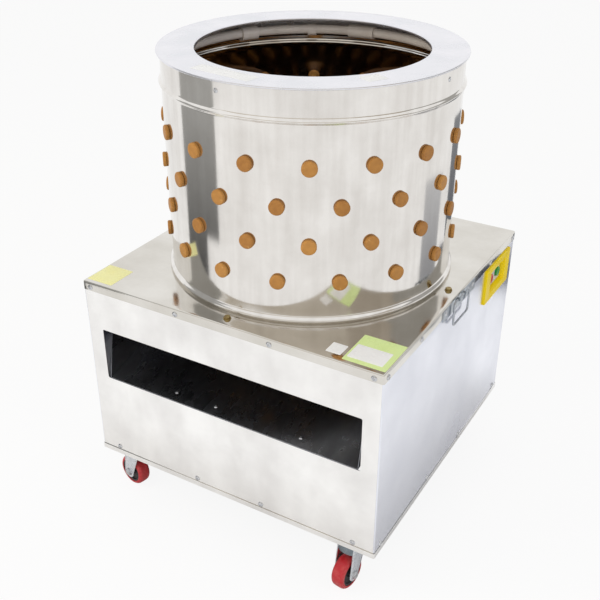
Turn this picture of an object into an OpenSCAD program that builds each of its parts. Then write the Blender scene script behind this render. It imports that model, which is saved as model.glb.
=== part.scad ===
// Drum poultry plucker: a stainless cabinet on castors, a rubber-fingered drum, and a spinning feather plate.
// All lengths are millimetres. The origin is on the floor under the drum's axis.
// +Z points up, the feather chute opens towards -Y and the switch is on the +X side.

/* [Cabinet] */
// Width of the deck over its folded skirt
cab_w = 700; // [690:2:780]
// Depth of the deck over its folded skirt
cab_d = 700; // [690:2:780]
// Height of the cabinet from the foot rim to the deck
cab_h = 439; // [430:1:500]
// Thickness of the cabinet's stainless sheet
sheet_t = 1.5; // [1:0.1:2]
// Height of the skirt folded down round the deck
skirt_h = 20; // [18:1:23]
// Height of the rim round the cabinet's foot
foot_rim_h = 12; // [10:1:14]
// Width of the foot rim's lip under the panels
foot_lip = 5; // [4:0.5:7]
// Leg length of the frame's angle section
angle_leg = 30; // [26:1:32]
// Wall of the frame's angle section
angle_t = 3; // [2:0.5:4]
// Side of the square gussets that carry the castors
gusset = 118; // [112:1:130]

/* [Feather chute] */
// Width of front panel left beside the chute's mouth at each end
mouth_margin = 37; // [32:1:47]
// Drop from the deck to the mouth's upper edge
mouth_top = 110; // [90:1:130]
// Drop from the deck to the mouth's lower edge
mouth_bottom = 232; // [215:1:245]
// Drop from the deck to the chute floor at its back wall
chute_back_drop = 60; // [50:1:70]
// Sheet thickness of the chute
chute_t = 1.2; // [1:0.1:1.6]
// Setback of the cheeks' slanted front edge at the top
cheek_setback = 45; // [30:1:60]
// Height of the lip folded down behind the front panel
chute_lip = 20; // [14:1:26]
// Height of the splash collar round the shaft
collar_h = 40; // [30:1:48]

/* [Drum] */
// Outside radius of the drum's wall
drum_r = 300; // [292:1:303]
// Height of the drum's rim above the deck
drum_h = 461; // [450:1:520]
// Thickness of the drum's wall
drum_t = 1.5; // [1.2:0.1:2]
// Length of drum wall that hangs below the deck
drum_tail = 30; // [28:1:36]
// Radius of the half-round bead that rests on the deck
foot_bead_r = 7; // [5:0.5:8]
// Radius of the upper half-round bead
top_bead_r = 5; // [4:0.5:6]
// Height of the upper bead above the deck
top_bead_z = 400; // [385:1:406]
// Radius of the opening in the rim ring
mouth_r = 232; // [215:1:245]
// Overhang of the rim ring past the drum's wall
ring_overhang = 7; // [5:0.5:9]
// Depth of the skirt that fixes the rim ring inside the drum
ring_skirt = 30; // [26:1:32]

/* [Rubber fingers] */
// Fingers in each row of the drum
row_count = 16; // [12:1:18]
// Height of the lowest row above the deck
row_z = 88; // [86:1:95]
// Height from one row to the next
row_pitch = 76; // [65:1:80]
// Turn of the first finger from the +X side, in degrees
row_phase = 6.4; // [0:0.1:22]
// Radius of a finger's head
head_r = 15; // [13:0.5:16]
// Thickness of a finger's head
head_t = 7.5; // [6:0.5:9]
// Radius of the neck that sits in the sheet
neck_r = 9.9; // [8:0.1:10.5]
// Length of a finger inside the sheet
finger_len = 94; // [80:1:98]
// Radius of a finger at its root
finger_root_r = 11; // [10:0.5:12]
// Radius of a finger at its tip
finger_tip_r = 8; // [6:0.5:9]
// Number of gripping ribs along a finger
finger_ribs = 8; // [5:1:12]

/* [Feather plate] */
// Gap between the feather plate and the drum for the feathers
feather_gap = 14; // [10:0.5:18]
// Drop from the deck to the plate's upper face
plate_drop = 22; // [20:0.5:24]
// Thickness of the feather plate
plate_t = 3; // [2.5:0.5:4]
// Radius of the inner finger circle
inner_circle = 105; // [98:1:130]
// Fingers on the inner circle
inner_fingers = 6; // [5:1:10]
// Radius of the middle finger circle
middle_circle = 175; // [160:1:190]
// Fingers on the middle circle
middle_fingers = 12; // [8:1:16]
// Radius of the outer finger circle
outer_circle = 245; // [230:1:258]
// Fingers on the outer circle
outer_fingers = 16; // [12:1:22]

/* [Drive] */
// Radius of the main shaft
shaft_r = 15; // [13:0.5:16]
// Outside radius of the ball bearings
bearing_r = 31; // [28:0.5:33]
// Width of each ball bearing
bearing_w = 16; // [14:0.5:18]
// Height of the bearing housing
housing_h = 105; // [90:1:115]
// Drop from the deck to the top of the bearing beam
beam_drop = 285; // [280:1:292]
// Width of the bearing beam
beam_w = 160; // [140:2:180]
// Plate thickness of the bearing beam and the motor plate
beam_t = 6; // [5:0.5:8]
// Gap between the motor's flange and the frame's back face
motor_clear = 9; // [5:0.5:16]
// Outside radius of the driven pulley
big_pulley_r = 150; // [135:1:155]
// Outside radius of the motor pulley
small_pulley_r = 35; // [30:1:42]
// Rim width of both pulleys
pulley_w = 22; // [20:0.5:26]
// Width of the belt across its back
belt_w = 13; // [12:0.5:14]
// Depth of the belt
belt_h = 8; // [7:0.5:9]
// Radius of the motor's ribbed body
motor_r = 88; // [80:1:92]
// Height of the motor's ribbed body
motor_h = 123; // [110:1:130]
// Radius of the motor shaft
motor_shaft_r = 12; // [10:0.5:14]

/* [Castors] */
// Height from the floor to the castor plates' upper face
castor_h = 125.5; // [122:0.5:140]
// Radius of a castor wheel
wheel_r = 37.5; // [32:0.5:38]
// Width of a castor's tread
wheel_w = 30; // [26:0.5:32]
// Trail from a castor's pivot to its axle
castor_trail = 28; // [24:0.5:32]
// Inset of a castor's pivot from the frame's side
castor_inset_x = 64; // [50:1:70]
// Inset of a castor's pivot from the frame's front or back
castor_inset_y = 47; // [46:1:70]
// Rest direction of each castor's trail in degrees: front left, front right, back left, back right
castor_turns = [168, -98, 82, 170]; // [-180:1:180]
// Radius of a castor's axle bolt
axle_r = 4; // [3.5:0.25:5]

/* [Lifting handles] */
// Length of a handle's back plate
handle_l = 172; // [150:2:190]
// Height of a handle's back plate
handle_h = 24; // [22:1:28]
// Thickness of a handle's back plate
handle_t = 2; // [1.5:0.1:3]
// Width of the bail between wire centres
bail_w = 80; // [64:1:90]
// Length of the bail from its hinge to the wire's lower run
bail_l = 54; // [50:1:80]
// Radius of the bail's wire
bail_wire_r = 2.25; // [2:0.05:2.75]

/* [Switch] */
// Length of the switch surround
bezel_l = 150; // [140:1:156]
// Height of the switch surround
bezel_h = 86; // [80:1:88]
// Thickness of the switch surround
bezel_t = 5; // [4:0.5:6]
// Distance of the switch's middle from the frame's back face
switch_inset = 107; // [103:1:117]
// Length of the recess in the surround
recess_l = 90; // [80:1:96]
// Height of the recess in the surround
recess_h = 50; // [46:1:54]
// Depth of the recess behind the side panel
recess_depth = 12; // [11:0.5:16]
// Radius of the push buttons
button_r = 11; // [9:0.5:13]
// Travel of the push buttons
button_travel = 4; // [3:0.5:5]

/* [Spray ring] */
// Outside radius of the spray pipe
pipe_r = 11; // [9:0.5:11.5]
// Wall of the spray pipe
pipe_t = 2; // [1.5:0.25:3]
// Drop from the rim ring to the spray pipe's centre
pipe_drop = 37; // [36:0.5:40]
// Length of the pipe's joining sleeve
sleeve_l = 62; // [50:1:80]
// Length of the hose tail outside the drum
hose_tail = 32; // [26:1:40]

/* [Fasteners] */
// Distance of the deck's inner front screws from the middle
deck_screw_x = 110; // [90:1:140]
// Distance of the deck's inner side screws from the middle
deck_screw_y = 186; // [150:1:220]
// Distance of the foot's inner front screws from the middle
foot_screw_x = 82; // [60:1:120]
// Distance of the foot's inner side screws from the middle
foot_screw_y = 90; // [60:1:120]
// Shank radius of the panel screws
screw_r = 2.1; // [1.5:0.1:2.5]
// Shank radius of the blind rivets
rivet_r = 2; // [1.5:0.1:2.5]
// Shank radius of the machine bolts
bolt_r = 5; // [4:0.5:5.5]
// Shank radius of the castor bolts
castor_bolt_r = 4; // [3:0.5:4.5]
// Radius of the cable gland's bore
gland_r = 6.5; // [5:0.25:8]

/* [Hidden] */
$fn = 64;

// Clearances: turning fits, seats of pressed pieces, holes round fasteners and gaps between neighbours
run_gap = 0.05;
seat_gap = 0.03;
hole_gap = 0.1;
safe_gap = 0.3;
// How far a cut runs past the faces that it opens
over = 1;

// Levels above the floor
z_frame = castor_h;
z_base = z_frame - sheet_t;
z_deck = z_base + cab_h;
z_under = z_deck - sheet_t;
z_leg = z_under - angle_t;
z_rim = z_deck + drum_h;

// Half widths: the skirt's outside, the panels' outside and the frame's outside
skirt_x = cab_w / 2;
skirt_y = cab_d / 2;
panel_x = skirt_x - sheet_t;
panel_y = skirt_y - sheet_t;
frame_x = panel_x - sheet_t;
frame_y = panel_y - sheet_t;

// Drum and rim ring
drum_in = drum_r - drum_t;
drum_slip = 0.5;
ring_t = 1.5;
ring_edge_r = 2.5;
ring_lip = 8;
z_wall_top = z_rim - ring_t;
z_drum = z_deck - drum_tail;

// Rubber fingers: wall of the sheet, then collar, ribs and tip
collar_r = 13;
collar_t = 6;
finger_edge = 2;
rib_depth = 1.2;
sheet_seat = 0.35;
hole_r = neck_r + hole_gap;
half_pitch = 180 / row_count;

// Feather plate and its hub
z_plate = z_deck - plate_drop;
z_plate_under = z_plate - plate_t;
plate_r = drum_in - feather_gap;
hub_flange_r = 70;
hub_flange_t = 8;
hub_boss_r = 30;
hub_boss_h = 45;
hub_bolt_circle = 50;
z_hub = z_plate_under - hub_flange_t - hub_boss_h;
nut_r = 22;
nut_h = 18;
washer_r = 28;
washer_t = 3;

// Bearings, beam and drive levels
z_beam = z_deck - beam_drop;
z_rail = z_beam - beam_t;
z_housing = z_beam + housing_h;
housing_wall = 9;
housing_r = bearing_r + housing_wall;
flange_r = housing_r + 24;
flange_t = 10;
flange_circle = housing_r + 13;
shoulder_r = shaft_r + 3;
beam_fold = 14;
beam_hole = shaft_r + 15;
pulley_clear = 5;
z_pulley = z_rail - beam_fold - pulley_clear - pulley_w / 2;
pulley_hub_r = shaft_r + 17;
pulley_hub_l = pulley_w + 12;
pulley_web = 8;
shaft_tail = 12;
z_shaft_end = z_pulley - pulley_hub_l / 2 - shaft_tail;
groove_gap = 0.3;
groove_extra = 3;
groove_slope = tan(19);

// Motor, which stands on its flange with the shaft downwards, and the belt down to the driven pulley
motor_flange_t = 12;
motor_core_r = motor_r - 8;
motor_circle = motor_core_r + 12;
motor_flange_r = motor_circle + 11;
motor_fins = 24;
fin_t = 2.5;
motor_plate_d = 196;
motor_plate_y = frame_y - motor_clear - motor_flange_r;
shaft_spacing = motor_plate_y;
belt_wrap = acos((big_pulley_r - small_pulley_r) / shaft_spacing);
belt_run = shaft_spacing * sin(belt_wrap);
belt_join = 0.03;
z_motor = z_beam + motor_flange_t;
z_motor_top = z_motor + motor_h;
motor_bore_h = 60;
fan_cover_h = 26;
fan_cover_t = 1.5;
terminal_size = [42, 86, 62];
terminal_pad = 4;
z_terminal = z_motor + motor_h / 2 - terminal_size[2] / 2;

// Feather chute
chute_x = drum_r + 5;
chute_back = drum_r + 5;
chute_front = -frame_y;
mouth_x = frame_x - mouth_margin;
z_mouth_top = z_deck - mouth_top;
z_mouth_bottom = z_deck - mouth_bottom;
chute_slope = (mouth_bottom - chute_back_drop) / (chute_back - chute_front);
splash_r = shaft_r + 11;
tab_w = 24;
tab_clear = 60;
tab_end = min(chute_x + tab_w, frame_x - angle_t - safe_gap);
function chute_z(y) = z_mouth_bottom + (y - chute_front) * chute_slope;

// Castors
castor_plate = 84;
castor_plate_t = 3;
castor_bolt_pitch = castor_plate - 18;
race_r = 24;
race_h = 2.7;
crown_r = 27;
crown_t = 9;
crown_back = 19;
pivot_r = 6;
pivot_head_r = 10;
pivot_head_t = 4;
cheek_t = 2.5;
core_w = wheel_w + 5;
core_r = wheel_r - 9;
cheek_in = core_w / 2 + 0.5;
cheek_foot_r = 15;
cheek_out = cheek_in + cheek_t;
hood_clear = 1.7;
hood_r = castor_bolt_pitch / sqrt(2) - castor_bolt_r * 1.75 - hood_clear;
hood_h = 27;
hood_x = sqrt(hood_r * hood_r - cheek_out * cheek_out);
nut_t = 5;
axle_nut_r = axle_r * 2.25;
z_race = z_frame - castor_plate_t - race_h;
z_crown = z_race - safe_gap;
z_pivot = z_crown - crown_t - safe_gap;

// Handles
handle_drop = 3;
hinge_drop = 2;
ear_r = bail_wire_r + 2.4;
ear_l = 12;
ear_y = 16;
hinge_x = skirt_x + handle_t + ear_r;
z_hinge = z_deck - hinge_drop;
bail_bend = 8;
handle_rivet_y = handle_l / 2 - 14;
handle_rivet_drop = 12;
z_handle_rivet = z_deck - handle_rivet_drop;

// Switch
recess_wall = 2.5;
bezel_gap = 5;
switch_y = frame_y - switch_inset;
z_switch = z_deck - skirt_h - bezel_gap - bezel_h / 2;
switch_depth = 18;
switch_l = recess_l - 6;
switch_h = recess_h - 4;
button_pitch = 44;
button_out = 8;
button_in = 6;
x_recess = panel_x - recess_depth;
x_switch = x_recess - switch_depth;

// Spray ring
pipe_ring_r = drum_in - pipe_r - 5.5;
z_pipe = z_rim - pipe_drop;
sleeve_t = 3.6;
sleeve_phase = 96.7;
inlet_phase = 150;
inlet_start = pipe_ring_r + pipe_r + 1;
inlet_r = 9;
inlet_bore = 6.5;
inlet_nut_r = 15;
inlet_nut_t = 7;
clip_phases = [30, 120, 210, 300];
clip_turn = 4;
clip_t = 1.5;
clip_tab = 3;

// Fasteners
screw_head_r = 6;
screw_head_t = 2.6;
screw_drop = 12;
screw_rise = foot_rim_h + screw_head_r + 1.5;
deck_edge_x = skirt_x - 20;
deck_edge_y = skirt_y - 17;
foot_edge_x = skirt_x - 50;
foot_edge_y = skirt_y - 28;
deck_bolt_r = frame_x - angle_leg / 2 - 6;
rivet_head_r = 4;
rivet_head_t = 1.2;
rim_rivet_drop = 22;
rim_rivet_phase = -94.5;
chute_rivet_x = [-140, -39, 166];
chute_rivet_in = 22;
bolt_head = 7;
castor_bolt_head = 5;
gland_inset = 107;
gland_x = frame_x - gland_inset;
gland_rise = 90;
gland_nut_r = 14;
gland_l = 16;

// A box between two corners
module span(low, high) {
  translate(low) cube(high - low);
}

// An upright pipe
module pipe(outer, inner, height) {
  difference() {
    cylinder(r = outer, h = height);
    translate([0, 0, -over]) cylinder(r = inner, h = height + 2 * over);
  }
}

// A rectangular ring, given its outer half widths, its wall and its height
module box_ring(half_x, half_y, wall, height) {
  difference() {
    span([-half_x, -half_y, 0], [half_x, half_y, height]);
    span([wall - half_x, wall - half_y, -over], [half_x - wall, half_y - wall, height + over]);
  }
}

// Copies of the children on a circle
module around(count, radius, phase = 0) {
  for (i = [0 : count - 1]) rotate([0, 0, phase + i * 360 / count]) translate([radius, 0, 0]) children();
}

// Copies of the children in the four corners
module corners(x, y) {
  for (sx = [-1, 1], sy = [-1, 1]) translate([sx * x, sy * y, 0]) children();
}

// A straight bolt along Z: its head sits on z = 0 and its nut under the grip
module bolt(radius, grip, head) {
  cylinder(r = radius * 1.75, h = head, $fn = 6);
  translate([0, 0, -grip - head]) cylinder(r = radius, h = grip + head + over / 2);
  translate([0, 0, -grip - head]) cylinder(r = radius * 1.75, h = head, $fn = 6);
}

// A domed fastener along Z: its head sits on z = 0 and its shank goes down
module stud(radius, head_radius, head_height, length) {
  cylinder(r1 = head_radius, r2 = head_radius * 0.6, h = head_height);
  translate([0, 0, -length]) cylinder(r = radius, h = length + head_height / 2);
}

// Places of the panel screws, each with its Z axis pointing out of the panel
module at_panel_screws() {
  for (side = [0, 180]) rotate([0, 0, side]) {
    for (s = [-1, 1]) {
      for (x = [deck_screw_x, deck_edge_x])
        translate([s * x, -skirt_y, z_deck - screw_drop]) rotate([90, 0, 0]) children();
      for (x = [foot_screw_x, foot_edge_x])
        translate([s * x, -panel_y, z_base + screw_rise]) rotate([90, 0, 0]) children();
      for (y = [deck_screw_y, deck_edge_y])
        translate([skirt_x, s * y, z_deck - screw_drop]) rotate([0, 90, 0]) children();
      for (y = [foot_screw_y, foot_edge_y])
        translate([panel_x, s * y, z_base + screw_rise]) rotate([0, 90, 0]) children();
    }
  }
}

module screw_holes() {
  at_panel_screws() translate([0, 0, -screw_length() - over]) cylinder(r = screw_r + hole_gap, h = 40);
}

function screw_length() = 2 * sheet_t + angle_t + 2;

// Places of the deck bolts, in the middle of each side
module at_deck_bolts() {
  for (turn = [0 : 90 : 270]) {
    reach = turn % 180 == 0 ? deck_bolt_r : deck_bolt_r + frame_y - frame_x;
    rotate([0, 0, turn]) translate([reach, 0, 0]) children();
  }
}

// Places of the castor pivots
castor_x = frame_x - castor_inset_x;
castor_y = frame_y - castor_inset_y;
module at_castor_bolts() {
  corners(castor_x, castor_y) corners(castor_bolt_pitch / 2, castor_bolt_pitch / 2) children();
}

// Angle section along a straight edge of the frame, as two rectangular rings
module angle_ring(z_corner, up) {
  translate([0, 0, up ? z_corner : z_corner - angle_leg]) box_ring(frame_x, frame_y, angle_t, angle_leg);
  translate([0, 0, up ? z_corner : z_corner - angle_t]) box_ring(frame_x, frame_y, angle_leg, angle_t);
}

// Corner posts, side rails for the beams, and gussets for the castors
module base_frame() color("darkslategray") difference() {
  union() {
    angle_ring(z_frame, true);
    angle_ring(z_under, false);
    for (sx = [0, 1], sy = [0, 1]) mirror([sx, 0, 0]) mirror([0, sy, 0]) {
      span([frame_x - angle_leg, frame_y - angle_t, z_frame], [frame_x, frame_y, z_under]);
      span([frame_x - angle_t, frame_y - angle_leg, z_frame], [frame_x, frame_y, z_under]);
      span([frame_x - gusset, frame_y - gusset, z_frame], [frame_x, frame_y, z_frame + angle_t]);
    }
    for (sx = [0, 1]) mirror([sx, 0, 0]) {
      span([frame_x - angle_t, -frame_y, z_rail - angle_leg], [frame_x, frame_y, z_rail]);
      span([frame_x - angle_leg, -frame_y, z_rail - angle_t], [frame_x, frame_y, z_rail]);
    }
  }
  screw_holes();
  at_deck_bolts() translate([0, 0, z_leg - over]) cylinder(r = bolt_r + hole_gap, h = angle_t + 2 * over);
  at_castor_bolts() translate([0, 0, z_frame - over])
    cylinder(r = castor_bolt_r + hole_gap, h = angle_t + 2 * over);
}

module panel_blank(half_x) {
  span([-half_x, 0, z_frame], [half_x, sheet_t, z_under]);
}

module front_panel() color("gainsboro") difference() {
  translate([0, -panel_y, 0]) panel_blank(frame_x);
  span([-mouth_x, -panel_y - over, z_mouth_bottom], [mouth_x, over - frame_y, z_mouth_top]);
  screw_holes();
}

module back_panel() color("gainsboro") difference() {
  translate([0, frame_y, 0]) panel_blank(frame_x);
  translate([gland_x, frame_y - over, z_base + gland_rise]) rotate([-90, 0, 0])
    cylinder(r = gland_r + 3 + hole_gap, h = sheet_t + 2 * over);
  screw_holes();
}

module side_panel() {
  span([frame_x, -panel_y, z_frame], [panel_x, panel_y, z_under]);
}

module left_panel() color("gainsboro") difference() {
  mirror([1, 0, 0]) side_panel();
  screw_holes();
}

module right_panel() color("gainsboro") difference() {
  side_panel();
  switch_box(recess_wall + safe_gap, frame_x - over, panel_x + over);
  screw_holes();
}

// The deck with its folded skirt and the hole that the drum hangs in
module top_plate() color("gainsboro") difference() {
  union() {
    span([-skirt_x, -skirt_y, z_under], [skirt_x, skirt_y, z_deck]);
    translate([0, 0, z_deck - skirt_h]) box_ring(skirt_x, skirt_y, sheet_t, skirt_h);
  }
  translate([0, 0, z_under - over]) cylinder(r = drum_r + drum_slip, h = sheet_t + 2 * over);
  at_deck_bolts() translate([0, 0, z_under - over]) cylinder(r = bolt_r + hole_gap, h = sheet_t + 2 * over);
  screw_holes();
  at_handle_rivets() translate([0, 0, -sheet_t - handle_t - over]) cylinder(r = rivet_r + hole_gap, h = 20);
}

module foot_rim() color("lightgray") union() {
  translate([0, 0, z_base]) box_ring(skirt_x, skirt_y, sheet_t, foot_rim_h);
  translate([0, 0, z_base]) box_ring(skirt_x, skirt_y, foot_lip + sheet_t, sheet_t);
}

// One cheek of the chute as an outline in Y and Z, reaching up to the frame
module cheek_outline() {
  polygon([
    [chute_front, chute_z(chute_front)],
    [chute_back, chute_z(chute_back)],
    [chute_back, z_leg],
    [chute_front + cheek_setback, z_leg]
  ]);
}

module along_x(low, high) {
  translate([low, 0, 0]) rotate([90, 0, 90]) linear_extrude(high - low) children();
}

// Sloped floor, two cheeks with fixing tabs, back wall, folded front lip and splash collar
module feather_chute() color("dimgray") difference() {
  union() {
    along_x(-chute_x, chute_x) polygon([
      [chute_front, chute_z(chute_front)],
      [chute_back, chute_z(chute_back)],
      [chute_back, chute_z(chute_back) + chute_t],
      [chute_front, chute_z(chute_front) + chute_t]
    ]);
    for (sx = [0, 1]) mirror([sx, 0, 0]) {
      along_x(chute_x - chute_t, chute_x) cheek_outline();
      for (sy = [-1, 1]) {
        tab_y = sy * (tab_clear + drum_r) / 2;
        tab_half = (drum_r - tab_clear) / 2 - cheek_setback;
        span([chute_x - chute_t, tab_y - tab_half, z_leg - chute_t],
          [tab_end, tab_y + tab_half, z_leg]);
      }
    }
    span([-chute_x, chute_back - chute_t, chute_z(chute_back)], [chute_x, chute_back, z_leg]);
    span([-chute_x, chute_front, z_mouth_bottom - chute_lip],
      [chute_x, chute_front + chute_t, z_mouth_bottom + chute_t]);
    translate([0, 0, chute_z(-splash_r)]) cylinder(r = splash_r, h = collar_h + 2 * splash_r * chute_slope);
  }
  translate([0, 0, chute_z(-splash_r) - over]) cylinder(r = splash_r - chute_t, h = collar_h + splash_r);
  translate([0, 0, chute_z(-splash_r) - collar_h]) linear_extrude(collar_h) circle(r = splash_r);
  at_chute_rivets() translate([0, 0, -10]) cylinder(r = rivet_r + hole_gap, h = 20);
  // Room for the switch where the cabinet is narrow
  switch_box(recess_wall + safe_gap, x_switch - safe_gap, panel_x);
}

module panel_screws() color("whitesmoke")
  at_panel_screws() stud(screw_r, screw_head_r, screw_head_t, screw_length());

// Places of the rivets that hold the rim ring, the chute floor and the handles
module at_rim_rivets() {
  around(4, drum_r, rim_rivet_phase) translate([0, 0, z_rim - rim_rivet_drop]) rotate([0, 90, 0]) children();
}

module at_chute_rivets() {
  y = chute_front + chute_rivet_in;
  for (x = chute_rivet_x) translate([x, y, chute_z(y) + chute_t])
    rotate([atan(chute_slope), 0, 0]) children();
}

module at_handle_rivets() {
  for (side = [0, 180], y = [-1, 1]) rotate([0, 0, side])
    translate([skirt_x + handle_t, y * handle_rivet_y, z_handle_rivet]) rotate([0, 90, 0]) children();
}

module blind_rivets() color("whitesmoke") {
  at_rim_rivets() translate([0, 0, seat_gap]) stud(rivet_r, rivet_head_r, rivet_head_t, drum_t + ring_t + 2);
  at_chute_rivets() translate([0, 0, seat_gap]) stud(rivet_r, rivet_head_r, rivet_head_t, chute_t + 2);
  at_handle_rivets() stud(rivet_r, rivet_head_r, rivet_head_t, handle_t + sheet_t);
}

module deck_bolts() color("goldenrod")
  at_deck_bolts() translate([0, 0, z_deck]) bolt(bolt_r, sheet_t + angle_t, bolt_head);

// Bolts of the bearing housing, the motor and the castors
module machine_bolts() color("silver") {
  translate([0, 0, z_beam + flange_t]) around(4, flange_circle, 45)
    bolt(bolt_r, flange_t + beam_t, bolt_head);
  translate([0, motor_plate_y, z_motor]) around(4, motor_circle, 45)
    bolt(bolt_r, motor_flange_t + beam_t, bolt_head);
  at_castor_bolts() translate([0, 0, z_frame + angle_t])
    bolt(castor_bolt_r, angle_t + castor_plate_t, castor_bolt_head);
}

// Round wall with two half-round beads pressed outwards, drilled for every finger
module drum_shell() color("gainsboro") difference() {
  union() {
    translate([0, 0, z_drum]) cylinder(r = drum_r, h = z_wall_top - z_drum, $fn = 180);
    bead(foot_bead_r, z_deck + foot_bead_r);
    bead(top_bead_r, z_deck + top_bead_z);
  }
  translate([0, 0, z_drum - over]) cylinder(r = drum_in, h = z_wall_top - z_drum + 2 * over, $fn = 180);
  bead(foot_bead_r - drum_t, z_deck + foot_bead_r);
  bead(top_bead_r - drum_t, z_deck + top_bead_z);
  for (row = [0 : 3]) at_row(row) translate([0, 0, -5]) cylinder(r = hole_r, h = drum_t + 10);
  at_rim_rivets() translate([0, 0, -8]) cylinder(r = rivet_r + hole_gap, h = 16);
  inlet_hole();
}

// The spray inlet's way through the drum and the rim ring's skirt
module inlet_hole() {
  translate([0, 0, z_pipe]) around(1, drum_in - 5, inlet_phase) rotate([0, 90, 0])
    cylinder(r = inlet_r + hole_gap, h = 16);
}

module bead(radius, level) {
  translate([0, 0, level]) rotate_extrude($fn = 180) translate([drum_r, 0]) circle(r = radius, $fn = 48);
}

// Flat ring with a hemmed outer edge, a turned-down inner lip and a skirt that fixes it inside the drum
module drum_rim_ring() color("whitesmoke") difference() {
  union() {
    translate([0, 0, z_wall_top]) pipe(drum_r + ring_overhang - ring_edge_r, mouth_r, ring_t);
    translate([0, 0, z_rim - ring_edge_r]) rotate_extrude($fn = 180)
      translate([drum_r + ring_overhang - ring_edge_r, 0]) circle(r = ring_edge_r, $fn = 32);
    translate([0, 0, z_rim - ring_lip]) pipe(mouth_r + ring_t, mouth_r, ring_lip);
    translate([0, 0, z_wall_top - ring_skirt])
      pipe(drum_in - drum_slip / 2, drum_in - drum_slip / 2 - ring_t, ring_skirt + ring_t);
  }
  at_rim_rivets() translate([0, 0, -8]) cylinder(r = rivet_r + hole_gap, h = 16);
  inlet_hole();
}

// Four welded angles under the deck that hold the drum's tail
module drum_clips() color("silver") for (turn = [45 : 90 : 315]) rotate([0, 0, turn - clip_turn]) {
  rotate_extrude(angle = 2 * clip_turn, $fn = 180) polygon([
    [drum_r + drum_slip / 2, z_drum],
    [drum_r + drum_slip / 2 + angle_t, z_drum],
    [drum_r + drum_slip / 2 + angle_t, z_under - angle_t],
    [drum_r + angle_leg, z_under - angle_t],
    [drum_r + angle_leg, z_under],
    [drum_r + drum_slip / 2, z_under]
  ]);
}

// A finger's half outline: head outside the sheet, neck in its hole, collar and ribbed length inside
function finger_outline(wall) =
  let (
    z_collar = wall + sheet_seat,
    z_ribs = z_collar + collar_t,
    z_tip = z_collar + finger_len,
    pitch = (z_tip - z_ribs - finger_tip_r) / finger_ribs,
    taper = (finger_root_r - finger_tip_r) / finger_ribs
  )
  concat(
    [
      [0, -head_t], [head_r - finger_edge, -head_t], [head_r, finger_edge - head_t], [head_r, 0],
      [neck_r, 0], [neck_r, z_collar], [collar_r, z_collar], [collar_r, z_ribs]
    ],
    [for (i = [0 : finger_ribs - 1]) each [
      [finger_root_r - i * taper - rib_depth, z_ribs + i * pitch],
      [finger_root_r - i * taper, z_ribs + (i + 0.5) * pitch]
    ]],
    [[finger_tip_r, z_tip - finger_edge], [finger_tip_r - finger_edge, z_tip], [0, z_tip]]
  );

module finger(wall) {
  rotate_extrude($fn = 32) polygon(finger_outline(wall));
}

// Finger places of one drum row, with Z pointing inwards and odd rows moved on by half a pitch
module at_row(row) {
  translate([0, 0, z_deck + row_z + row * row_pitch])
    around(row_count, drum_r, row_phase + (row % 2 == 0 ? half_pitch : 0)) rotate([0, -90, 0]) children();
}

module drum_fingers(row) color("peru") at_row(row) finger(drum_t);
module drum_fingers_row_1() drum_fingers(0);
module drum_fingers_row_2() drum_fingers(1);
module drum_fingers_row_3() drum_fingers(2);
module drum_fingers_row_4() drum_fingers(3);

// An arc of the spray ring: everything between two radii round the pipe's centre line
module ring_arc(outer, inner, start, turn) {
  translate([0, 0, z_pipe]) rotate([0, 0, start]) rotate_extrude(angle = turn, $fn = 180)
    translate([pipe_ring_r, 0]) difference() {
      circle(r = outer, $fn = 48);
      circle(r = inner, $fn = 48);
    }
}

function arc_of(length) = length / pipe_ring_r * 180 / PI;

module spray_pipe() color("tan") difference() {
  ring_arc(pipe_r, pipe_r - pipe_t, 0, 360);
  translate([0, 0, z_pipe]) around(1, pipe_ring_r, inlet_phase) rotate([0, 90, 0])
    cylinder(r = inlet_bore, h = 2 * pipe_r);
}

module spray_sleeve() color("tan")
  ring_arc(pipe_r + sleeve_t, pipe_r + hole_gap, sleeve_phase - arc_of(sleeve_l) / 2, arc_of(sleeve_l));

// Saddle on the pipe, and a hose tail that leaves through the drum's wall
module spray_inlet() color("tan") difference() {
  union() {
    ring_arc(pipe_r + sleeve_t, pipe_r + hole_gap, inlet_phase - arc_of(40) / 2, arc_of(40));
    translate([0, 0, z_pipe]) around(1, 0, inlet_phase) rotate([0, 90, 0]) {
      translate([0, 0, inlet_start]) cylinder(r = inlet_r, h = drum_r + hose_tail - inlet_start);
      translate([0, 0, drum_r + safe_gap]) cylinder(r = inlet_nut_r, h = inlet_nut_t, $fn = 6);
    }
  }
  translate([0, 0, z_pipe]) around(1, 0, inlet_phase) rotate([0, 90, 0])
    translate([0, 0, pipe_ring_r]) cylinder(r = inlet_bore, h = drum_r + hose_tail);
}

// Straps round the pipe with tabs on the drum's wall
module spray_clips() color("silver") for (phase = clip_phases) {
  ring_arc(pipe_r + clip_t, pipe_r + hole_gap, phase - clip_turn / 2, clip_turn);
  translate([0, 0, z_pipe]) rotate([0, 0, phase - clip_turn / 2]) rotate_extrude(angle = clip_turn, $fn = 180)
    polygon([
      [pipe_ring_r + pipe_r + clip_t / 2, -clip_tab],
      [drum_in - hole_gap, -clip_tab],
      [drum_in - hole_gap, clip_tab],
      [pipe_ring_r + pipe_r + clip_t / 2, clip_tab]
    ]);
}

// A folded plate across the side rails, with stiffening folds between them
module cross_plate(depth) {
  span([angle_t - frame_x, -depth / 2, z_rail], [frame_x - angle_t, depth / 2, z_beam]);
  for (sy = [0, 1]) mirror([0, sy, 0])
    span([angle_leg + 2 - frame_x, depth / 2 - beam_t, z_rail - beam_fold],
      [frame_x - angle_leg - 2, depth / 2, z_beam]);
}

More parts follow.
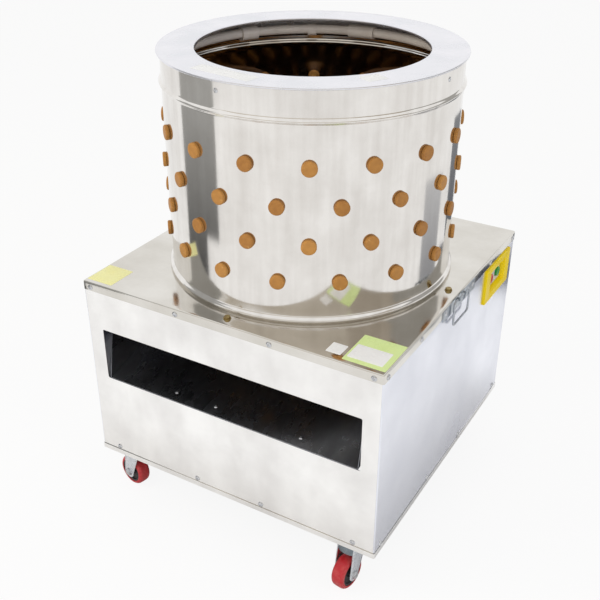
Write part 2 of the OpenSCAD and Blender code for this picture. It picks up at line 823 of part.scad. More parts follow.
module bearing_beam() color("slategray") difference() {
  cross_plate(beam_w);
  translate([0, 0, z_rail - over]) cylinder(r = beam_hole, h = beam_t + 2 * over);
  translate([0, 0, z_rail - over]) around(4, flange_circle, 45)
    cylinder(r = bolt_r + hole_gap, h = beam_t + 2 * over);
}

module bearing_housing() color("dimgray") difference() {
  union() {
    translate([0, 0, z_beam]) cylinder(r = flange_r, h = flange_t);
    translate([0, 0, z_beam]) cylinder(r = housing_r, h = housing_h);
  }
  translate([0, 0, z_beam - over]) cylinder(r = shoulder_r + 2, h = housing_h + 2 * over);
  translate([0, 0, z_beam - over]) cylinder(r = bearing_r + seat_gap, h = bearing_w + over);
  translate([0, 0, z_housing - bearing_w]) cylinder(r = bearing_r + seat_gap, h = bearing_w + over);
  translate([0, 0, z_beam - over]) around(4, flange_circle, 45)
    cylinder(r = bolt_r + hole_gap, h = flange_t + 2 * over);
}

module shaft_bearings() color("lightgray") for (level = [z_beam, z_housing - bearing_w])
  translate([0, 0, level]) pipe(bearing_r, shaft_r + run_gap, bearing_w);

module motor_plate() color("slategray") difference() {
  translate([0, motor_plate_y, 0]) cross_plate(motor_plate_d);
  translate([0, motor_plate_y, z_rail - over]) {
    cylinder(r = motor_shaft_r + 20, h = beam_t + 2 * over);
    around(4, motor_circle, 45) cylinder(r = bolt_r + hole_gap, h = beam_t + 2 * over);
  }
}

// Ribbed motor body on its round flange, with a flat pad for the terminal box
module motor_body() color("steelblue") translate([0, motor_plate_y, 0]) difference() {
  union() {
    translate([0, 0, z_beam]) cylinder(r = motor_flange_r, h = motor_flange_t);
    translate([0, 0, z_motor]) cylinder(r = motor_core_r, h = motor_h);
    around(motor_fins, 0) translate([motor_core_r - 2, -fin_t / 2, z_motor + bolt_head + 8])
      cube([motor_r - motor_core_r + 2, fin_t, motor_h - bolt_head - 16]);
    translate([0, -terminal_size[1] / 2, z_terminal])
      cube([motor_r + terminal_pad, terminal_size[1], terminal_size[2]]);
  }
  translate([0, 0, z_beam - over]) cylinder(r = motor_shaft_r + run_gap, h = motor_bore_h + over);
  translate([0, 0, z_beam - over]) around(4, motor_circle, 45)
    cylinder(r = bolt_r + hole_gap, h = motor_flange_t + 2 * over);
}

module motor_fan_cover() color("dimgray") translate([0, motor_plate_y, z_motor_top]) difference() {
  cylinder(r = motor_core_r + 3, h = fan_cover_h);
  translate([0, 0, -over]) cylinder(r = motor_core_r - 3, h = fan_cover_h - fan_cover_t + over);
  for (circle_r = [24, 48]) around(8, circle_r) cylinder(r = 7, h = fan_cover_h + over);
}

module motor_terminal_box() color("dimgray")
  translate([motor_r + terminal_pad, motor_plate_y - terminal_size[1] / 2, z_terminal]) cube(terminal_size);

// The belt's section, with X outwards from the pulley's axis
module belt_section(radius) {
  top = belt_w / 2;
  low = top - belt_h * groove_slope;
  polygon([[radius - belt_h, -low], [radius, -top], [radius, top], [radius - belt_h, low]]);
}

// One loop in four lengths: an arc round each pulley and two straight runs between the tangent points
module v_belt() color("black") translate([0, 0, z_pulley]) {
  straight = belt_run - 2 * belt_join;
  rotate([0, 0, 90 + belt_wrap])
    rotate_extrude(angle = 360 - 2 * belt_wrap, $fn = 180) belt_section(big_pulley_r);
  translate([0, shaft_spacing, 0]) rotate([0, 0, 90 - belt_wrap])
    rotate_extrude(angle = 2 * belt_wrap, $fn = 180) belt_section(small_pulley_r);
  rotate([0, 0, 90 - belt_wrap]) translate([0, belt_run - belt_join, 0]) rotate([90, 0, 0])
    linear_extrude(straight) belt_section(big_pulley_r);
  rotate([0, 0, 90 + belt_wrap]) translate([0, -belt_join, 0]) rotate([90, 0, 0])
    linear_extrude(straight) belt_section(big_pulley_r);
}

// The cut or the body of the switch recess between two planes, grown by a wall
module switch_box(wall, x_low, x_high) {
  span([x_low, switch_y - recess_l / 2 - wall, z_switch - recess_h / 2 - wall],
    [x_high, switch_y + recess_l / 2 + wall, z_switch + recess_h / 2 + wall]);
}

module at_buttons(x) {
  for (s = [-1, 1]) translate([x, switch_y + s * button_pitch / 2, z_switch]) rotate([0, 90, 0]) children();
}

// Raised surround with a cup let into the side panel
module switch_bezel() color("gold") difference() {
  union() {
    span([panel_x, switch_y - bezel_l / 2, z_switch - bezel_h / 2],
      [panel_x + bezel_t, switch_y + bezel_l / 2, z_switch + bezel_h / 2]);
    switch_box(recess_wall, x_recess, panel_x + bezel_t / 2);
  }
  switch_box(0, x_recess + recess_wall, panel_x + bezel_t + over);
  at_buttons(x_recess - over) cylinder(r = button_r + safe_gap, h = recess_wall + 2 * over);
}

module switch_body() color("lightgray") difference() {
  span([x_switch, switch_y - switch_l / 2, z_switch - switch_h / 2],
    [x_recess, switch_y + switch_l / 2, z_switch + switch_h / 2]);
  at_buttons(x_recess - button_in - button_travel - safe_gap) cylinder(r = button_r + safe_gap, h = 40);
}

module button(side) {
  length = button_in + recess_wall + button_out;
  translate([x_recess - button_in, switch_y + side * button_pitch / 2, z_switch]) rotate([0, 90, 0]) {
    cylinder(r = button_r, h = length - 2);
    translate([0, 0, length - 2]) cylinder(r1 = button_r, r2 = button_r - 2, h = 2);
  }
}

module start_button() color("green") button(1);
module stop_button() color("red") button(-1);

// Gland in the back panel with its nuts on both faces
module cable_gland() color("dimgray")
  translate([gland_x, panel_y, z_base + gland_rise]) rotate([-90, 0, 0]) difference() {
    union() {
      cylinder(r = gland_nut_r, h = 8, $fn = 6);
      cylinder(r = gland_r + 4, h = gland_l);
      translate([0, 0, -sheet_t - 10]) cylinder(r = gland_r + 3, h = sheet_t + 11);
      translate([0, 0, -sheet_t - 6]) cylinder(r = gland_nut_r, h = 6, $fn = 6);
    }
    translate([0, 0, -sheet_t - 10 - over]) cylinder(r = gland_r, h = gland_l + sheet_t + 10 + 2 * over);
  }

// Back plate with two rolled ears for the bail
module handle_plate() difference() {
  union() {
    span([skirt_x, -handle_l / 2, z_deck - handle_drop - handle_h],
      [skirt_x + handle_t, handle_l / 2, z_deck - handle_drop]);
    for (s = [-1, 1]) translate([0, s * ear_y - ear_l / 2, z_hinge]) {
      translate([hinge_x, 0, 0]) rotate([-90, 0, 0]) cylinder(r = ear_r, h = ear_l);
      span([skirt_x, 0, -ear_r], [hinge_x, ear_l, 0]);
    }
  }
  translate([hinge_x, -handle_l / 2, z_hinge]) rotate([-90, 0, 0])
    cylinder(r = bail_wire_r + run_gap, h = handle_l);
  at_handle_rivets() translate([0, 0, -10]) cylinder(r = rivet_r + hole_gap, h = 20);
}

module handle_plates() color("silver") for (side = [0, 180]) rotate([0, 0, side]) handle_plate();

// Closed wire loop that hangs from its upper run
module bail() {
  half = bail_w / 2;
  low = z_hinge - bail_l;
  for (z = [low, z_hinge]) translate([hinge_x, bail_bend - half, z]) rotate([-90, 0, 0])
    cylinder(r = bail_wire_r, h = bail_w - 2 * bail_bend);
  for (s = [-1, 1]) translate([hinge_x, s * half, low + bail_bend])
    cylinder(r = bail_wire_r, h = bail_l - 2 * bail_bend);
  for (s = [-1, 1], end = [0, 1]) {
    turn = s > 0 ? (end == 1 ? 0 : 270) : (end == 1 ? 90 : 180);
    translate([hinge_x, s * (half - bail_bend), end == 1 ? z_hinge - bail_bend : low + bail_bend])
      rotate([90, 0, 90]) rotate([0, 0, turn]) rotate_extrude(angle = 90) translate([bail_bend, 0])
        circle(r = bail_wire_r, $fn = 32);
  }
}

module right_bail() color("silver") bail();
module left_bail() color("silver") rotate([0, 0, 180]) bail();

// Fixed castor plates, each with its ball race and riveted pivot
module castor_plates() color("silver") corners(castor_x, castor_y) difference() {
  union() {
    half = castor_plate / 2;
    span([-half, -half, z_frame - castor_plate_t], [half, half, z_frame]);
    translate([0, 0, z_race]) cylinder(r = race_r, h = race_h + castor_plate_t / 2);
    translate([0, 0, z_pivot]) cylinder(r = pivot_r, h = z_race + race_h - z_pivot);
    translate([0, 0, z_pivot - pivot_head_t]) cylinder(r = pivot_head_r, h = pivot_head_t);
  }
  corners(castor_bolt_pitch / 2, castor_bolt_pitch / 2)
    translate([0, 0, z_frame - castor_plate_t - over])
      cylinder(r = castor_bolt_r + hole_gap, h = castor_plate_t + 2 * over);
}

// A castor's place and rest direction, with X along its trail
module at_castor(index) {
  translate([index % 2 == 0 ? -castor_x : castor_x, index < 2 ? -castor_y : castor_y, 0])
    rotate([0, 0, castor_turns[index]]) children();
}

// Outline of a fork's cheek, from the crown down to the axle
module cheek() {
  polygon([
    [-crown_back, z_crown], [hood_x, z_crown],
    [castor_trail + cheek_foot_r, wheel_r], [castor_trail - cheek_foot_r, wheel_r]
  ]);
  translate([castor_trail, wheel_r]) circle(r = cheek_foot_r);
}

// Fork of crown, rounded hood over the wheel and two cheeks, with its axle bolt
module castor_fork(index) color("silver") at_castor(index) {
  difference() {
    union() {
      translate([0, 0, z_crown - crown_t]) cylinder(r = crown_r, h = crown_t);
      for (s = [0, 1]) mirror([0, s, 0]) translate([0, cheek_out, 0]) rotate([90, 0, 0])
        linear_extrude(cheek_t) cheek();
      intersection() {
        union() {
          translate([0, 0, z_crown - hood_h]) pipe(hood_r, hood_r - cheek_t, hood_h);
          translate([0, 0, z_crown - crown_t]) cylinder(r = hood_r, h = crown_t);
        }
        span([-crown_back, -cheek_out, z_crown - hood_h], [hood_r, cheek_out, z_crown]);
      }
    }
    translate([0, 0, z_crown - crown_t - over]) cylinder(r = pivot_r + run_gap, h = crown_t + 2 * over);
    translate([castor_trail, -cheek_out - over, wheel_r]) rotate([-90, 0, 0])
      cylinder(r = axle_r + seat_gap, h = 2 * (cheek_out + over));
  }
  translate([castor_trail, 0, wheel_r]) rotate([-90, 0, 0]) axle();
}

module axle() {
  translate([0, 0, -cheek_out - nut_t / 2]) cylinder(r = axle_r, h = 2 * cheek_out + nut_t);
  for (s = [0, 1]) mirror([0, 0, s]) translate([0, 0, cheek_out])
    cylinder(r = axle_nut_r, h = nut_t, $fn = 6);
}

module at_wheel(index) {
  at_castor(index) translate([castor_trail, 0, wheel_r]) rotate([-90, 0, 0]) children();
}

// Moulded hub with a recessed web on both faces
module castor_core(index) color("dimgray") at_wheel(index) rotate_extrude() polygon([
  [axle_r + run_gap, -core_w / 2], [axle_r + 6, -core_w / 2], [axle_r + 6, -core_w / 4],
  [core_r - 4, -core_w / 4], [core_r - 4, -wheel_w / 2 + 1], [core_r, -wheel_w / 2 + 1],
  [core_r, wheel_w / 2 - 1], [core_r - 4, wheel_w / 2 - 1], [core_r - 4, core_w / 4],
  [axle_r + 6, core_w / 4], [axle_r + 6, core_w / 2], [axle_r + run_gap, core_w / 2]
]);

// Polyurethane tread with rounded shoulders
module castor_tyre(index) color("firebrick") at_wheel(index) rotate_extrude() polygon([
  [core_r + seat_gap, -wheel_w / 2], [wheel_r - 5, -wheel_w / 2], [wheel_r - 1.5, 3.5 - wheel_w / 2],
  [wheel_r, 8 - wheel_w / 2], [wheel_r, wheel_w / 2 - 8], [wheel_r - 1.5, wheel_w / 2 - 3.5],
  [wheel_r - 5, wheel_w / 2], [core_r + seat_gap, wheel_w / 2]
]);

module castor_fork_front_left() castor_fork(0);
module castor_core_front_left() castor_core(0);
module castor_tyre_front_left() castor_tyre(0);
module castor_fork_front_right() castor_fork(1);
module castor_core_front_right() castor_core(1);
module castor_tyre_front_right() castor_tyre(1);
module castor_fork_back_left() castor_fork(2);
module castor_core_back_left() castor_core(2);
module castor_tyre_back_left() castor_tyre(2);
module castor_fork_back_right() castor_fork(3);
module castor_core_back_right() castor_core(3);
module castor_tyre_back_right() castor_tyre(3);

// Places of the feather plate's fingers, on three circles
module at_plate_fingers() {
  around(inner_fingers, inner_circle) children();
  around(middle_fingers, middle_circle, 9) children();
  around(outer_fingers, outer_circle, 18) children();
}

module at_plate_bolts() {
  around(4, hub_bolt_circle, 45) children();
}

module feather_plate() color("lightgray") translate([0, 0, z_plate_under]) difference() {
  cylinder(r = plate_r, h = plate_t, $fn = 180);
  translate([0, 0, -over]) {
    cylinder(r = shaft_r + seat_gap, h = plate_t + 2 * over);
    at_plate_fingers() cylinder(r = hole_r, h = plate_t + 2 * over);
    at_plate_bolts() cylinder(r = bolt_r + hole_gap, h = plate_t + 2 * over);
  }
}

module plate_fingers() color("peru") translate([0, 0, z_plate_under]) at_plate_fingers() finger(plate_t);

module plate_hub() color("dimgray") difference() {
  union() {
    translate([0, 0, z_plate_under - hub_flange_t]) cylinder(r = hub_flange_r, h = hub_flange_t);
    translate([0, 0, z_hub]) cylinder(r = hub_boss_r, h = hub_boss_h + hub_flange_t / 2);
  }
  translate([0, 0, z_hub - over]) cylinder(r = shaft_r + seat_gap, h = hub_boss_h + hub_flange_t + 2 * over);
  translate([0, 0, z_plate_under - hub_flange_t - over]) at_plate_bolts()
    cylinder(r = bolt_r + hole_gap, h = hub_flange_t + 2 * over);
}

// Hub bolts, and the hexagon nut and washer that clamp the plate to the shaft
module plate_fixings() color("silver") translate([0, 0, z_plate]) {
  at_plate_bolts() bolt(bolt_r, plate_t + hub_flange_t, bolt_head);
  difference() {
    union() {
      cylinder(r = washer_r, h = washer_t);
      cylinder(r = nut_r, h = washer_t + nut_h, $fn = 6);
    }
    translate([0, 0, -over]) cylinder(r = shaft_r + seat_gap, h = washer_t + nut_h + 2 * over);
  }
}

module main_shaft() color("gray") {
  z_top = z_plate + washer_t + nut_h + 4;
  translate([0, 0, z_shaft_end]) cylinder(r = shaft_r, h = z_top - z_shaft_end);
  translate([0, 0, z_housing + safe_gap]) cylinder(r = shoulder_r, h = z_hub - z_housing - safe_gap);
}

// Half outline of a pulley: hub, web and a rim with one V groove
module pulley(radius, bore, hub, hub_length, web) {
  mouth = belt_w / 2 + groove_gap;
  depth = belt_h + groove_extra;
  low = mouth - depth * groove_slope;
  rim = depth + min(5, (radius - depth - bore) / 2);
  rotate_extrude($fn = 180) difference() {
    union() {
      translate([bore, -hub_length / 2]) square([hub - bore, hub_length]);
      translate([bore, -web / 2]) square([radius - depth - bore, web]);
      translate([radius - rim, -pulley_w / 2]) square([rim, pulley_w]);
    }
    polygon([[radius - depth, -low], [radius + over, -mouth - over * groove_slope],
      [radius + over, mouth + over * groove_slope], [radius - depth, low]]);
  }
}

module driven_pulley() color("dimgray") translate([0, 0, z_pulley]) difference() {
  pulley(big_pulley_r, shaft_r + seat_gap, pulley_hub_r, pulley_hub_l, pulley_web);
  around(5, (pulley_hub_r + big_pulley_r - 16) / 2) translate([0, 0, -pulley_web])
    cylinder(r = 26, h = 2 * pulley_web);
}

module motor_shaft() color("gray") translate([0, motor_plate_y, z_pulley - pulley_hub_l / 2 - 2])
  cylinder(r = motor_shaft_r, h = z_beam + motor_bore_h - safe_gap - z_pulley + pulley_hub_l / 2 + 2);

module motor_pulley() color("dimgray") translate([0, motor_plate_y, z_pulley])
  pulley(small_pulley_r, motor_shaft_r + seat_gap, motor_shaft_r + 6, pulley_hub_l, pulley_w);

base_frame();
front_panel();
back_panel();
left_panel();
right_panel();
top_plate();
foot_rim();
feather_chute();
panel_screws();
blind_rivets();
deck_bolts();
machine_bolts();
drum_shell();
drum_rim_ring();
drum_clips();
drum_fingers_row_1();
drum_fingers_row_2();
drum_fingers_row_3();
drum_fingers_row_4();
spray_pipe();
spray_sleeve();
spray_inlet();
spray_clips();
bearing_beam();
bearing_housing();
shaft_bearings();
motor_plate();
motor_body();
motor_fan_cover();
motor_terminal_box();
v_belt();
switch_bezel();
switch_body();
cable_gland();
handle_plates();
castor_plates();
feather_plate();
plate_fingers();
plate_hub();
plate_fixings();
main_shaft();
driven_pulley();
motor_shaft();
motor_pulley();
castor_fork_front_left();
castor_core_front_left();
castor_tyre_front_left();
castor_fork_front_right();
castor_core_front_right();
castor_tyre_front_right();
castor_fork_back_left();
castor_core_back_left();
castor_tyre_back_left();
castor_fork_back_right();
castor_core_back_right();
castor_tyre_back_right();
right_bail();
left_bail();
start_button();
stop_button();
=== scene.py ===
# %% [markdown]
# # A drum poultry plucker, dressed for a portrait
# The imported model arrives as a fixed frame: every solid is already in its place, in metres, with
# Z up and the front facing -Y. This script gives each solid a finish, and swaps the ones that the
# eye rests on for finer surfaces that ride on the same bodies.

# %% Load the frame
import bpy
import bmesh
import numpy as np
from mathutils import Matrix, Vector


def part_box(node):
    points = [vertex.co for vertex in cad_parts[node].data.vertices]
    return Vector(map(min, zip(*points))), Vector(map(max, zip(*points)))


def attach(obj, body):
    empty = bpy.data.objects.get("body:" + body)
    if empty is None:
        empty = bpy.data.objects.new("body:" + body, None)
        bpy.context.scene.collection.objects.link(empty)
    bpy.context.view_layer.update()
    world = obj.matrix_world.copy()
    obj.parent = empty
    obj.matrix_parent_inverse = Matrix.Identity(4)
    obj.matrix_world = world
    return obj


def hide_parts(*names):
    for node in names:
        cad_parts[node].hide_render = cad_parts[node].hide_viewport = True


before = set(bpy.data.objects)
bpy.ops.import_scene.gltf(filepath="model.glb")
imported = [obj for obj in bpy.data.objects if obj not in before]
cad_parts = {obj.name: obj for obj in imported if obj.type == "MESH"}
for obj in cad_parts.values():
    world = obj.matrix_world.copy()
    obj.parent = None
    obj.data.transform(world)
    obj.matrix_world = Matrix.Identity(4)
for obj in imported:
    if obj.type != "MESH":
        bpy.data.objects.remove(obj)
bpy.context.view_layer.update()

# %% [markdown]
# ## The camera
# The photograph looks down on the machine from its front right. Position and angles were worked
# out from the corners of the cabinet and the circles of the drum, so a piece that is right in the
# solids lands on its own pixels. The three axes are written out and put into one matrix, because
# that shows plainly what yaw, pitch and roll do.

# %% Camera
def placed(x, y, z, place):
    """A matrix whose columns are three axes and a place, so own coordinates become the world's."""
    return Matrix([[x[i], y[i], z[i], place[i]] for i in range(3)] + [[0, 0, 0, 1]])


eye = (0.887, -1.562, 1.458)
yaw, pitch, roll = np.radians([-30.34, -29.40, 0.18])
ahead = np.array([np.sin(yaw) * np.cos(pitch), np.cos(yaw) * np.cos(pitch), np.sin(pitch)])
level = np.array([np.cos(yaw), -np.sin(yaw), 0.0])
above = np.cross(level, ahead)
right = np.cos(roll) * level + np.sin(roll) * above
up = np.cos(roll) * above - np.sin(roll) * level
camera = bpy.data.objects.new("camera", bpy.data.cameras.new("camera"))
camera.data.lens, camera.data.sensor_width = 54.36, 36.0
camera.data.clip_end = 60.0
camera.matrix_world = placed(right, up, -ahead, eye)
bpy.context.collection.objects.link(camera)
bpy.context.scene.camera = camera
bpy.context.scene.view_settings.view_transform = "Standard"
print("camera looks along", ahead.round(3))

# %% [markdown]
# ## Surfaces from grids
# Nearly every piece here is sheet, wire, turned metal or moulded rubber, so each is a grid of
# points worked out in one go: one parameter runs round or along the piece, the other follows its
# profile. Bevelled boxes would be quicker but give no control over beads, hems and rolled edges.

# %% Grids into meshes
mm = 0.001
merge_gap = 0.002 * mm


def shell(points, wrap_u=False, wrap_v=False, keep=None):
    """Grids of shape (..., nu, nv, 3) as vertices and quads. Point (i, j) of a grid is number
    i * nv + j; a wrapped side joins its last row to its first; keep picks quads by number."""
    nu, nv = points.shape[-3:-1]
    i, j = np.meshgrid(np.arange(nu - (not wrap_u)), np.arange(nv - (not wrap_v)), indexing="ij")
    a, b = (i + 1) % nu, (j + 1) % nv
    quads = np.stack([i * nv + j, a * nv + j, a * nv + b, i * nv + b], -1).reshape(-1, 4)
    quads = quads if keep is None else quads[keep.reshape(-1)]
    grids = points.reshape(-1, nu * nv, 3)
    starts = np.arange(len(grids)) * nu * nv
    return grids.reshape(-1, 3), (quads[None] + starts[:, None, None]).reshape(-1, 4)


def make_piece(name, shells, material, body, nodes=(), crease=35, sheet=0.0, marks=None):
    """Joins shells into one mesh, merges points that meet at seams and poles, turns closed shells
    to face outwards, shades smooth up to the crease angle and hands the piece to the frame.
    A sheet has one side here, faces outwards by its own order, and gets its thickness inwards."""
    starts = np.cumsum([0] + [len(s[0]) for s in shells])
    mesh = bpy.data.meshes.new(name)
    mesh.from_pydata(np.concatenate([s[0] for s in shells]).tolist(), [],
                     np.concatenate([s[1] + k for s, k in zip(shells, starts)]).tolist())
    for mark, values in (marks or {}).items():
        numbers = mesh.attributes.new(mark, "FLOAT", "POINT")
        numbers.data.foreach_set("value", values.astype(np.float32).ravel())
    work = bmesh.new()
    work.from_mesh(mesh)
    bmesh.ops.remove_doubles(work, verts=work.verts, dist=merge_gap)
    if not sheet:
        bmesh.ops.recalc_face_normals(work, faces=work.faces)
    work.to_mesh(mesh)
    work.free()
    mesh.shade_smooth()
    mesh.set_sharp_from_angle(angle=np.radians(crease))
    mesh.materials.append(material)
    piece = bpy.data.objects.new(name, mesh)
    bpy.context.collection.objects.link(piece)
    if sheet:
        wall = piece.modifiers.new("wall", "SOLIDIFY")
        wall.thickness, wall.offset = sheet, -1.0
        piece.modifiers.new("flat faces lead", "WEIGHTED_NORMAL").keep_sharp = True
    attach(piece, body)
    if nodes:
        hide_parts(*nodes)
    print(name, "has", len(mesh.polygons), "faces")
    return piece


# %% [markdown]
# ## Turned shapes, arcs, rounded outlines and copies
# A few small tools cover most of the machine: a profile turned round an axis, the points of an arc,
# a rectangle with rounded corners as a path with outward normals, and copies of a grid on given axes.

# %% Turning, outlines, copies
def turned(profile, count=96):
    """Each (radius, height) of the profile goes round Z: x = r cos a, y = r sin a, z = h."""
    a = np.linspace(0, 2 * np.pi, count, endpoint=False)[:, None]
    r, h = np.asarray(profile, float).T
    return np.stack([r * np.cos(a), r * np.sin(a), h + 0 * a], -1)


def arc_points(centre, radius, angles):
    """Points of an arc in its plane: centre + radius (cos a, sin a)."""
    return centre + radius * np.stack([np.cos(angles), np.sin(angles)], -1)


def outline(half_x, half_y, radius, per_side=16, per_corner=6):
    """A rectangle with rounded corners, anticlockwise: arcs round four corner centres, joined by
    straight runs. Gives points and outward normals, the same count for any size."""
    turn = np.radians(np.linspace(0, 90, per_corner))
    points, normals = [], []
    for k, (sx, sy) in enumerate([(1, 1), (-1, 1), (-1, -1), (1, -1)]):
        n = np.stack([np.cos(turn + k * np.pi / 2), np.sin(turn + k * np.pi / 2)], -1)
        arc = np.array([sx * (half_x - radius), sy * (half_y - radius)]) + radius * n
        step = np.array([-np.sin((k + 1) * np.pi / 2), np.cos((k + 1) * np.pi / 2)])
        run = 2 * ((half_x if k % 2 == 0 else half_y) - radius)
        t = (np.arange(1, per_side) / per_side)[:, None]
        points += [arc, arc[-1] + t * run * step]
        normals += [n, np.repeat(n[-1:], per_side - 1, 0)]
    return np.concatenate(points), np.concatenate(normals)


def stand(points, origins, axes):
    """Copies a grid: each copy is its origin + x times its first axis + y times its second + z times
    its third."""
    return np.asarray(origins)[:, None, None, :] + np.einsum("uvk,nkc->nuvc", points, np.asarray(axes))


def facing(normals):
    """Axes for copies whose Z follows each given normal; X lies level unless the normal is upright."""
    n = np.asarray(normals, float)
    side = np.where(np.abs(n[:, 2:]) > 0.9, [1.0, 0, 0], np.cross([0, 0, 1.0], n))
    side /= np.linalg.norm(side, axis=1, keepdims=True)
    return np.stack([side, np.cross(n, side), n], 1)


# %% [markdown]
# ## Colour and nodes
# Colours are picked as sRGB hex, the way a paint chart or a photo gives them, and Blender's shaders
# want linear light. One helper adds a node with its settings and links, one opens a material with
# its constant sockets set and the piece's own coordinates in metres at hand, and one links the
# finished colour, roughness and bump.

# %% Colour and node helpers
def linear(hex_code):
    """sRGB to linear: c / 12.92 near black, else ((c + 0.055) / 1.055) to the power 2.4."""
    c = np.array([int(hex_code[k:k + 2], 16) for k in (1, 3, 5)]) / 255
    return (*np.where(c <= 0.04045, c / 12.92, ((c + 0.055) / 1.055) ** 2.4).tolist(), 1.0)


def add(tree, kind, inputs=None, **settings):
    """Adds a shader node, sets its settings, and fills its inputs with a value or a link."""
    node = tree.nodes.new("ShaderNode" + kind)
    for key, value in settings.items():
        setattr(node, key, value)
    for key, value in (inputs or {}).items():
        if isinstance(value, bpy.types.NodeSocket):
            tree.links.new(value, node.inputs[key])
        else:
            node.inputs[key].default_value = value
    return node


def open_material(name, **constants):
    """A new material, its node tree, its shader with constants set, and Object coordinates."""
    material = bpy.data.materials.new(name)
    material.use_nodes = True
    tree = material.node_tree
    shader = tree.nodes["Principled BSDF"]
    for key, value in constants.items():
        shader.inputs[key.replace("_", " ")].default_value = value
    return material, tree, shader, add(tree, "TexCoord").outputs["Object"]


def connect(tree, shader, colour, gloss, relief):
    """Links the first outputs of a colour, a roughness and a bump node to the shader."""
    for source, socket in ((colour, "Base Color"), (gloss, "Roughness"), (relief, "Normal")):
        tree.links.new(source.outputs[0], shader.inputs[socket])


# %% [markdown]
# ## Stainless sheet
# Stainless sheet leaves the mill with a finish from near mirror to satin. What the eye reads is the
# reflection: how sharp it is, how the sheet's slow waves bend it, and the film of handling smears
# that dulls it in patches. So one function takes those as real sizes: smear patches, rolling
# streaks and waves in millimetres, with the wave's height.

# %% Stainless steel
def stainless(name, tint, smeared, rough, smear_mm, streak_mm, wave_mm, wave_height_mm):
    """Rolled stainless: tint to smeared colour and low to high roughness by patches and streaks."""
    material, tree, shader, place = open_material(name, Metallic=1.0)
    smear = add(tree, "TexNoise",
                {"Vector": place, "Scale": 1000 / smear_mm, "Detail": 4.0, "Roughness": 0.6})
    along = add(tree, "Mapping", {"Vector": place, "Scale": [1000 / s for s in streak_mm]})
    streak = add(tree, "TexNoise", {"Vector": along.outputs[0], "Scale": 1.0, "Detail": 2.0})
    film_and_shade = add(tree, "MixRGB",
               {"Fac": 0.4, "Color1": smear.outputs["Fac"], "Color2": streak.outputs["Fac"]})
    film_and_shade = add(tree, "MapRange", {"Value": film_and_shade.outputs[0], "From Min": 0.36, "From Max": 0.64})
    colour = add(tree, "MixRGB",
                 {"Fac": film_and_shade.outputs[0], "Color1": linear(tint), "Color2": linear(smeared)})
    gloss = add(tree, "MapRange", {"Value": film_and_shade.outputs[0], "To Min": rough[0], "To Max": rough[1]})
    sway = add(tree, "Mapping", {"Vector": place, "Scale": [1000 / s for s in wave_mm]})
    wave = add(tree, "TexNoise", {"Vector": sway.outputs[0], "Scale": 1.0, "Detail": 1.0})
    bump = add(tree, "Bump",
               {"Height": wave.outputs["Fac"], "Strength": 1.0, "Distance": wave_height_mm * mm})
    connect(tree, shader, colour, gloss, bump)
    return material


# The drum is a clear mirror with faint upright smears, the deck a softer mirror, the ring and the
# panels satin, and the chute dull.
drum_mirror = stainless("stainless_mirror_rolled", "#EAE7E3", "#DAD6D1", (0.07, 0.13),
                        90, (18, 18, 200), (60, 60, 280), 0.35)
ring_satin = stainless("stainless_satin_rolled", "#EBEAEF", "#E2E3E8", (0.22, 0.30),
                       80, (160, 160, 160), (160, 160, 160), 0.2)
deck_soft = stainless("stainless_soft_mirror_handled", "#E1DED8", "#D0CCC4", (0.09, 0.16),
                      110, (260, 90, 260), (160, 160, 160), 0.35)
front_satin = stainless("stainless_panel_wiped", "#FCFBF9", "#E9E7E5", (0.12, 0.20),
                        130, (60, 60, 170), (180, 180, 120), 0.5)
side_satin = stainless("stainless_panel_satin", "#F1F3FB", "#E4E6EF", (0.20, 0.28),
                       160, (160, 160, 260), (260, 260, 260), 0.3)
# The chute's tint, darker than the other steel, is partly painted shade for the dark inside the cabinet.
chute_dark = stainless("stainless_chute_dull_painted_shade", "#A6A8AE", "#8C8E94", (0.22, 0.36),
                       70, (20, 200, 20), (90, 140, 90), 0.12)
print("stainless finishes:", [m.name for m in bpy.data.materials if m.name.startswith("stainless")])

# %% [markdown]
# ## Drum wall
# The drum is one sheet rolled into a tube, with two beads pressed outwards to stiffen it: a large
# one that sits on the deck and a smaller one under the rim. The profile runs up the outside and
# down the inside, one sheet thickness in; the small bead is softer inside, as a roller leaves it.

# %% Drum wall
deck_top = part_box("top_plate")[1][2]
rim_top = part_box("drum_rim_ring")[1][2]
drum_r, drum_t = 300 * mm, 1.5 * mm
wall_foot, wall_top = 533 * mm, rim_top - 1.5 * mm
foot_z, foot_height, foot_half = deck_top + 7 * mm, 7 * mm, 8.5 * mm
neck_z, neck_height, neck_half = deck_top + 400 * mm, 5 * mm, 7 * mm
soft_height, soft_half = 3.2 * mm, 9 * mm


def bead(z, centre, height, half_width):
    """A pressed bead: its height times the squared cosine of the distance from its centre line."""
    return height * np.cos(np.pi / 2 * np.clip((z - centre) / half_width, -1, 1)) ** 2


levels = np.unique(np.concatenate([
    np.linspace(wall_foot, wall_top, 26),
    foot_z + np.linspace(-foot_half, foot_half, 17),
    neck_z + np.linspace(-soft_half, soft_half, 19)]))
foot_swell = bead(levels, foot_z, foot_height, foot_half)
outside = drum_r + foot_swell + bead(levels, neck_z, neck_height, neck_half)
inside = drum_r - drum_t + foot_swell + bead(levels, neck_z, soft_height, soft_half)
wall_loop = np.concatenate([np.stack([outside, levels], -1), np.stack([inside, levels], -1)[::-1]])
make_piece("drum_wall", [shell(turned(wall_loop, 216), True, True)], drum_mirror, "cabinet",
           ["drum_shell"])
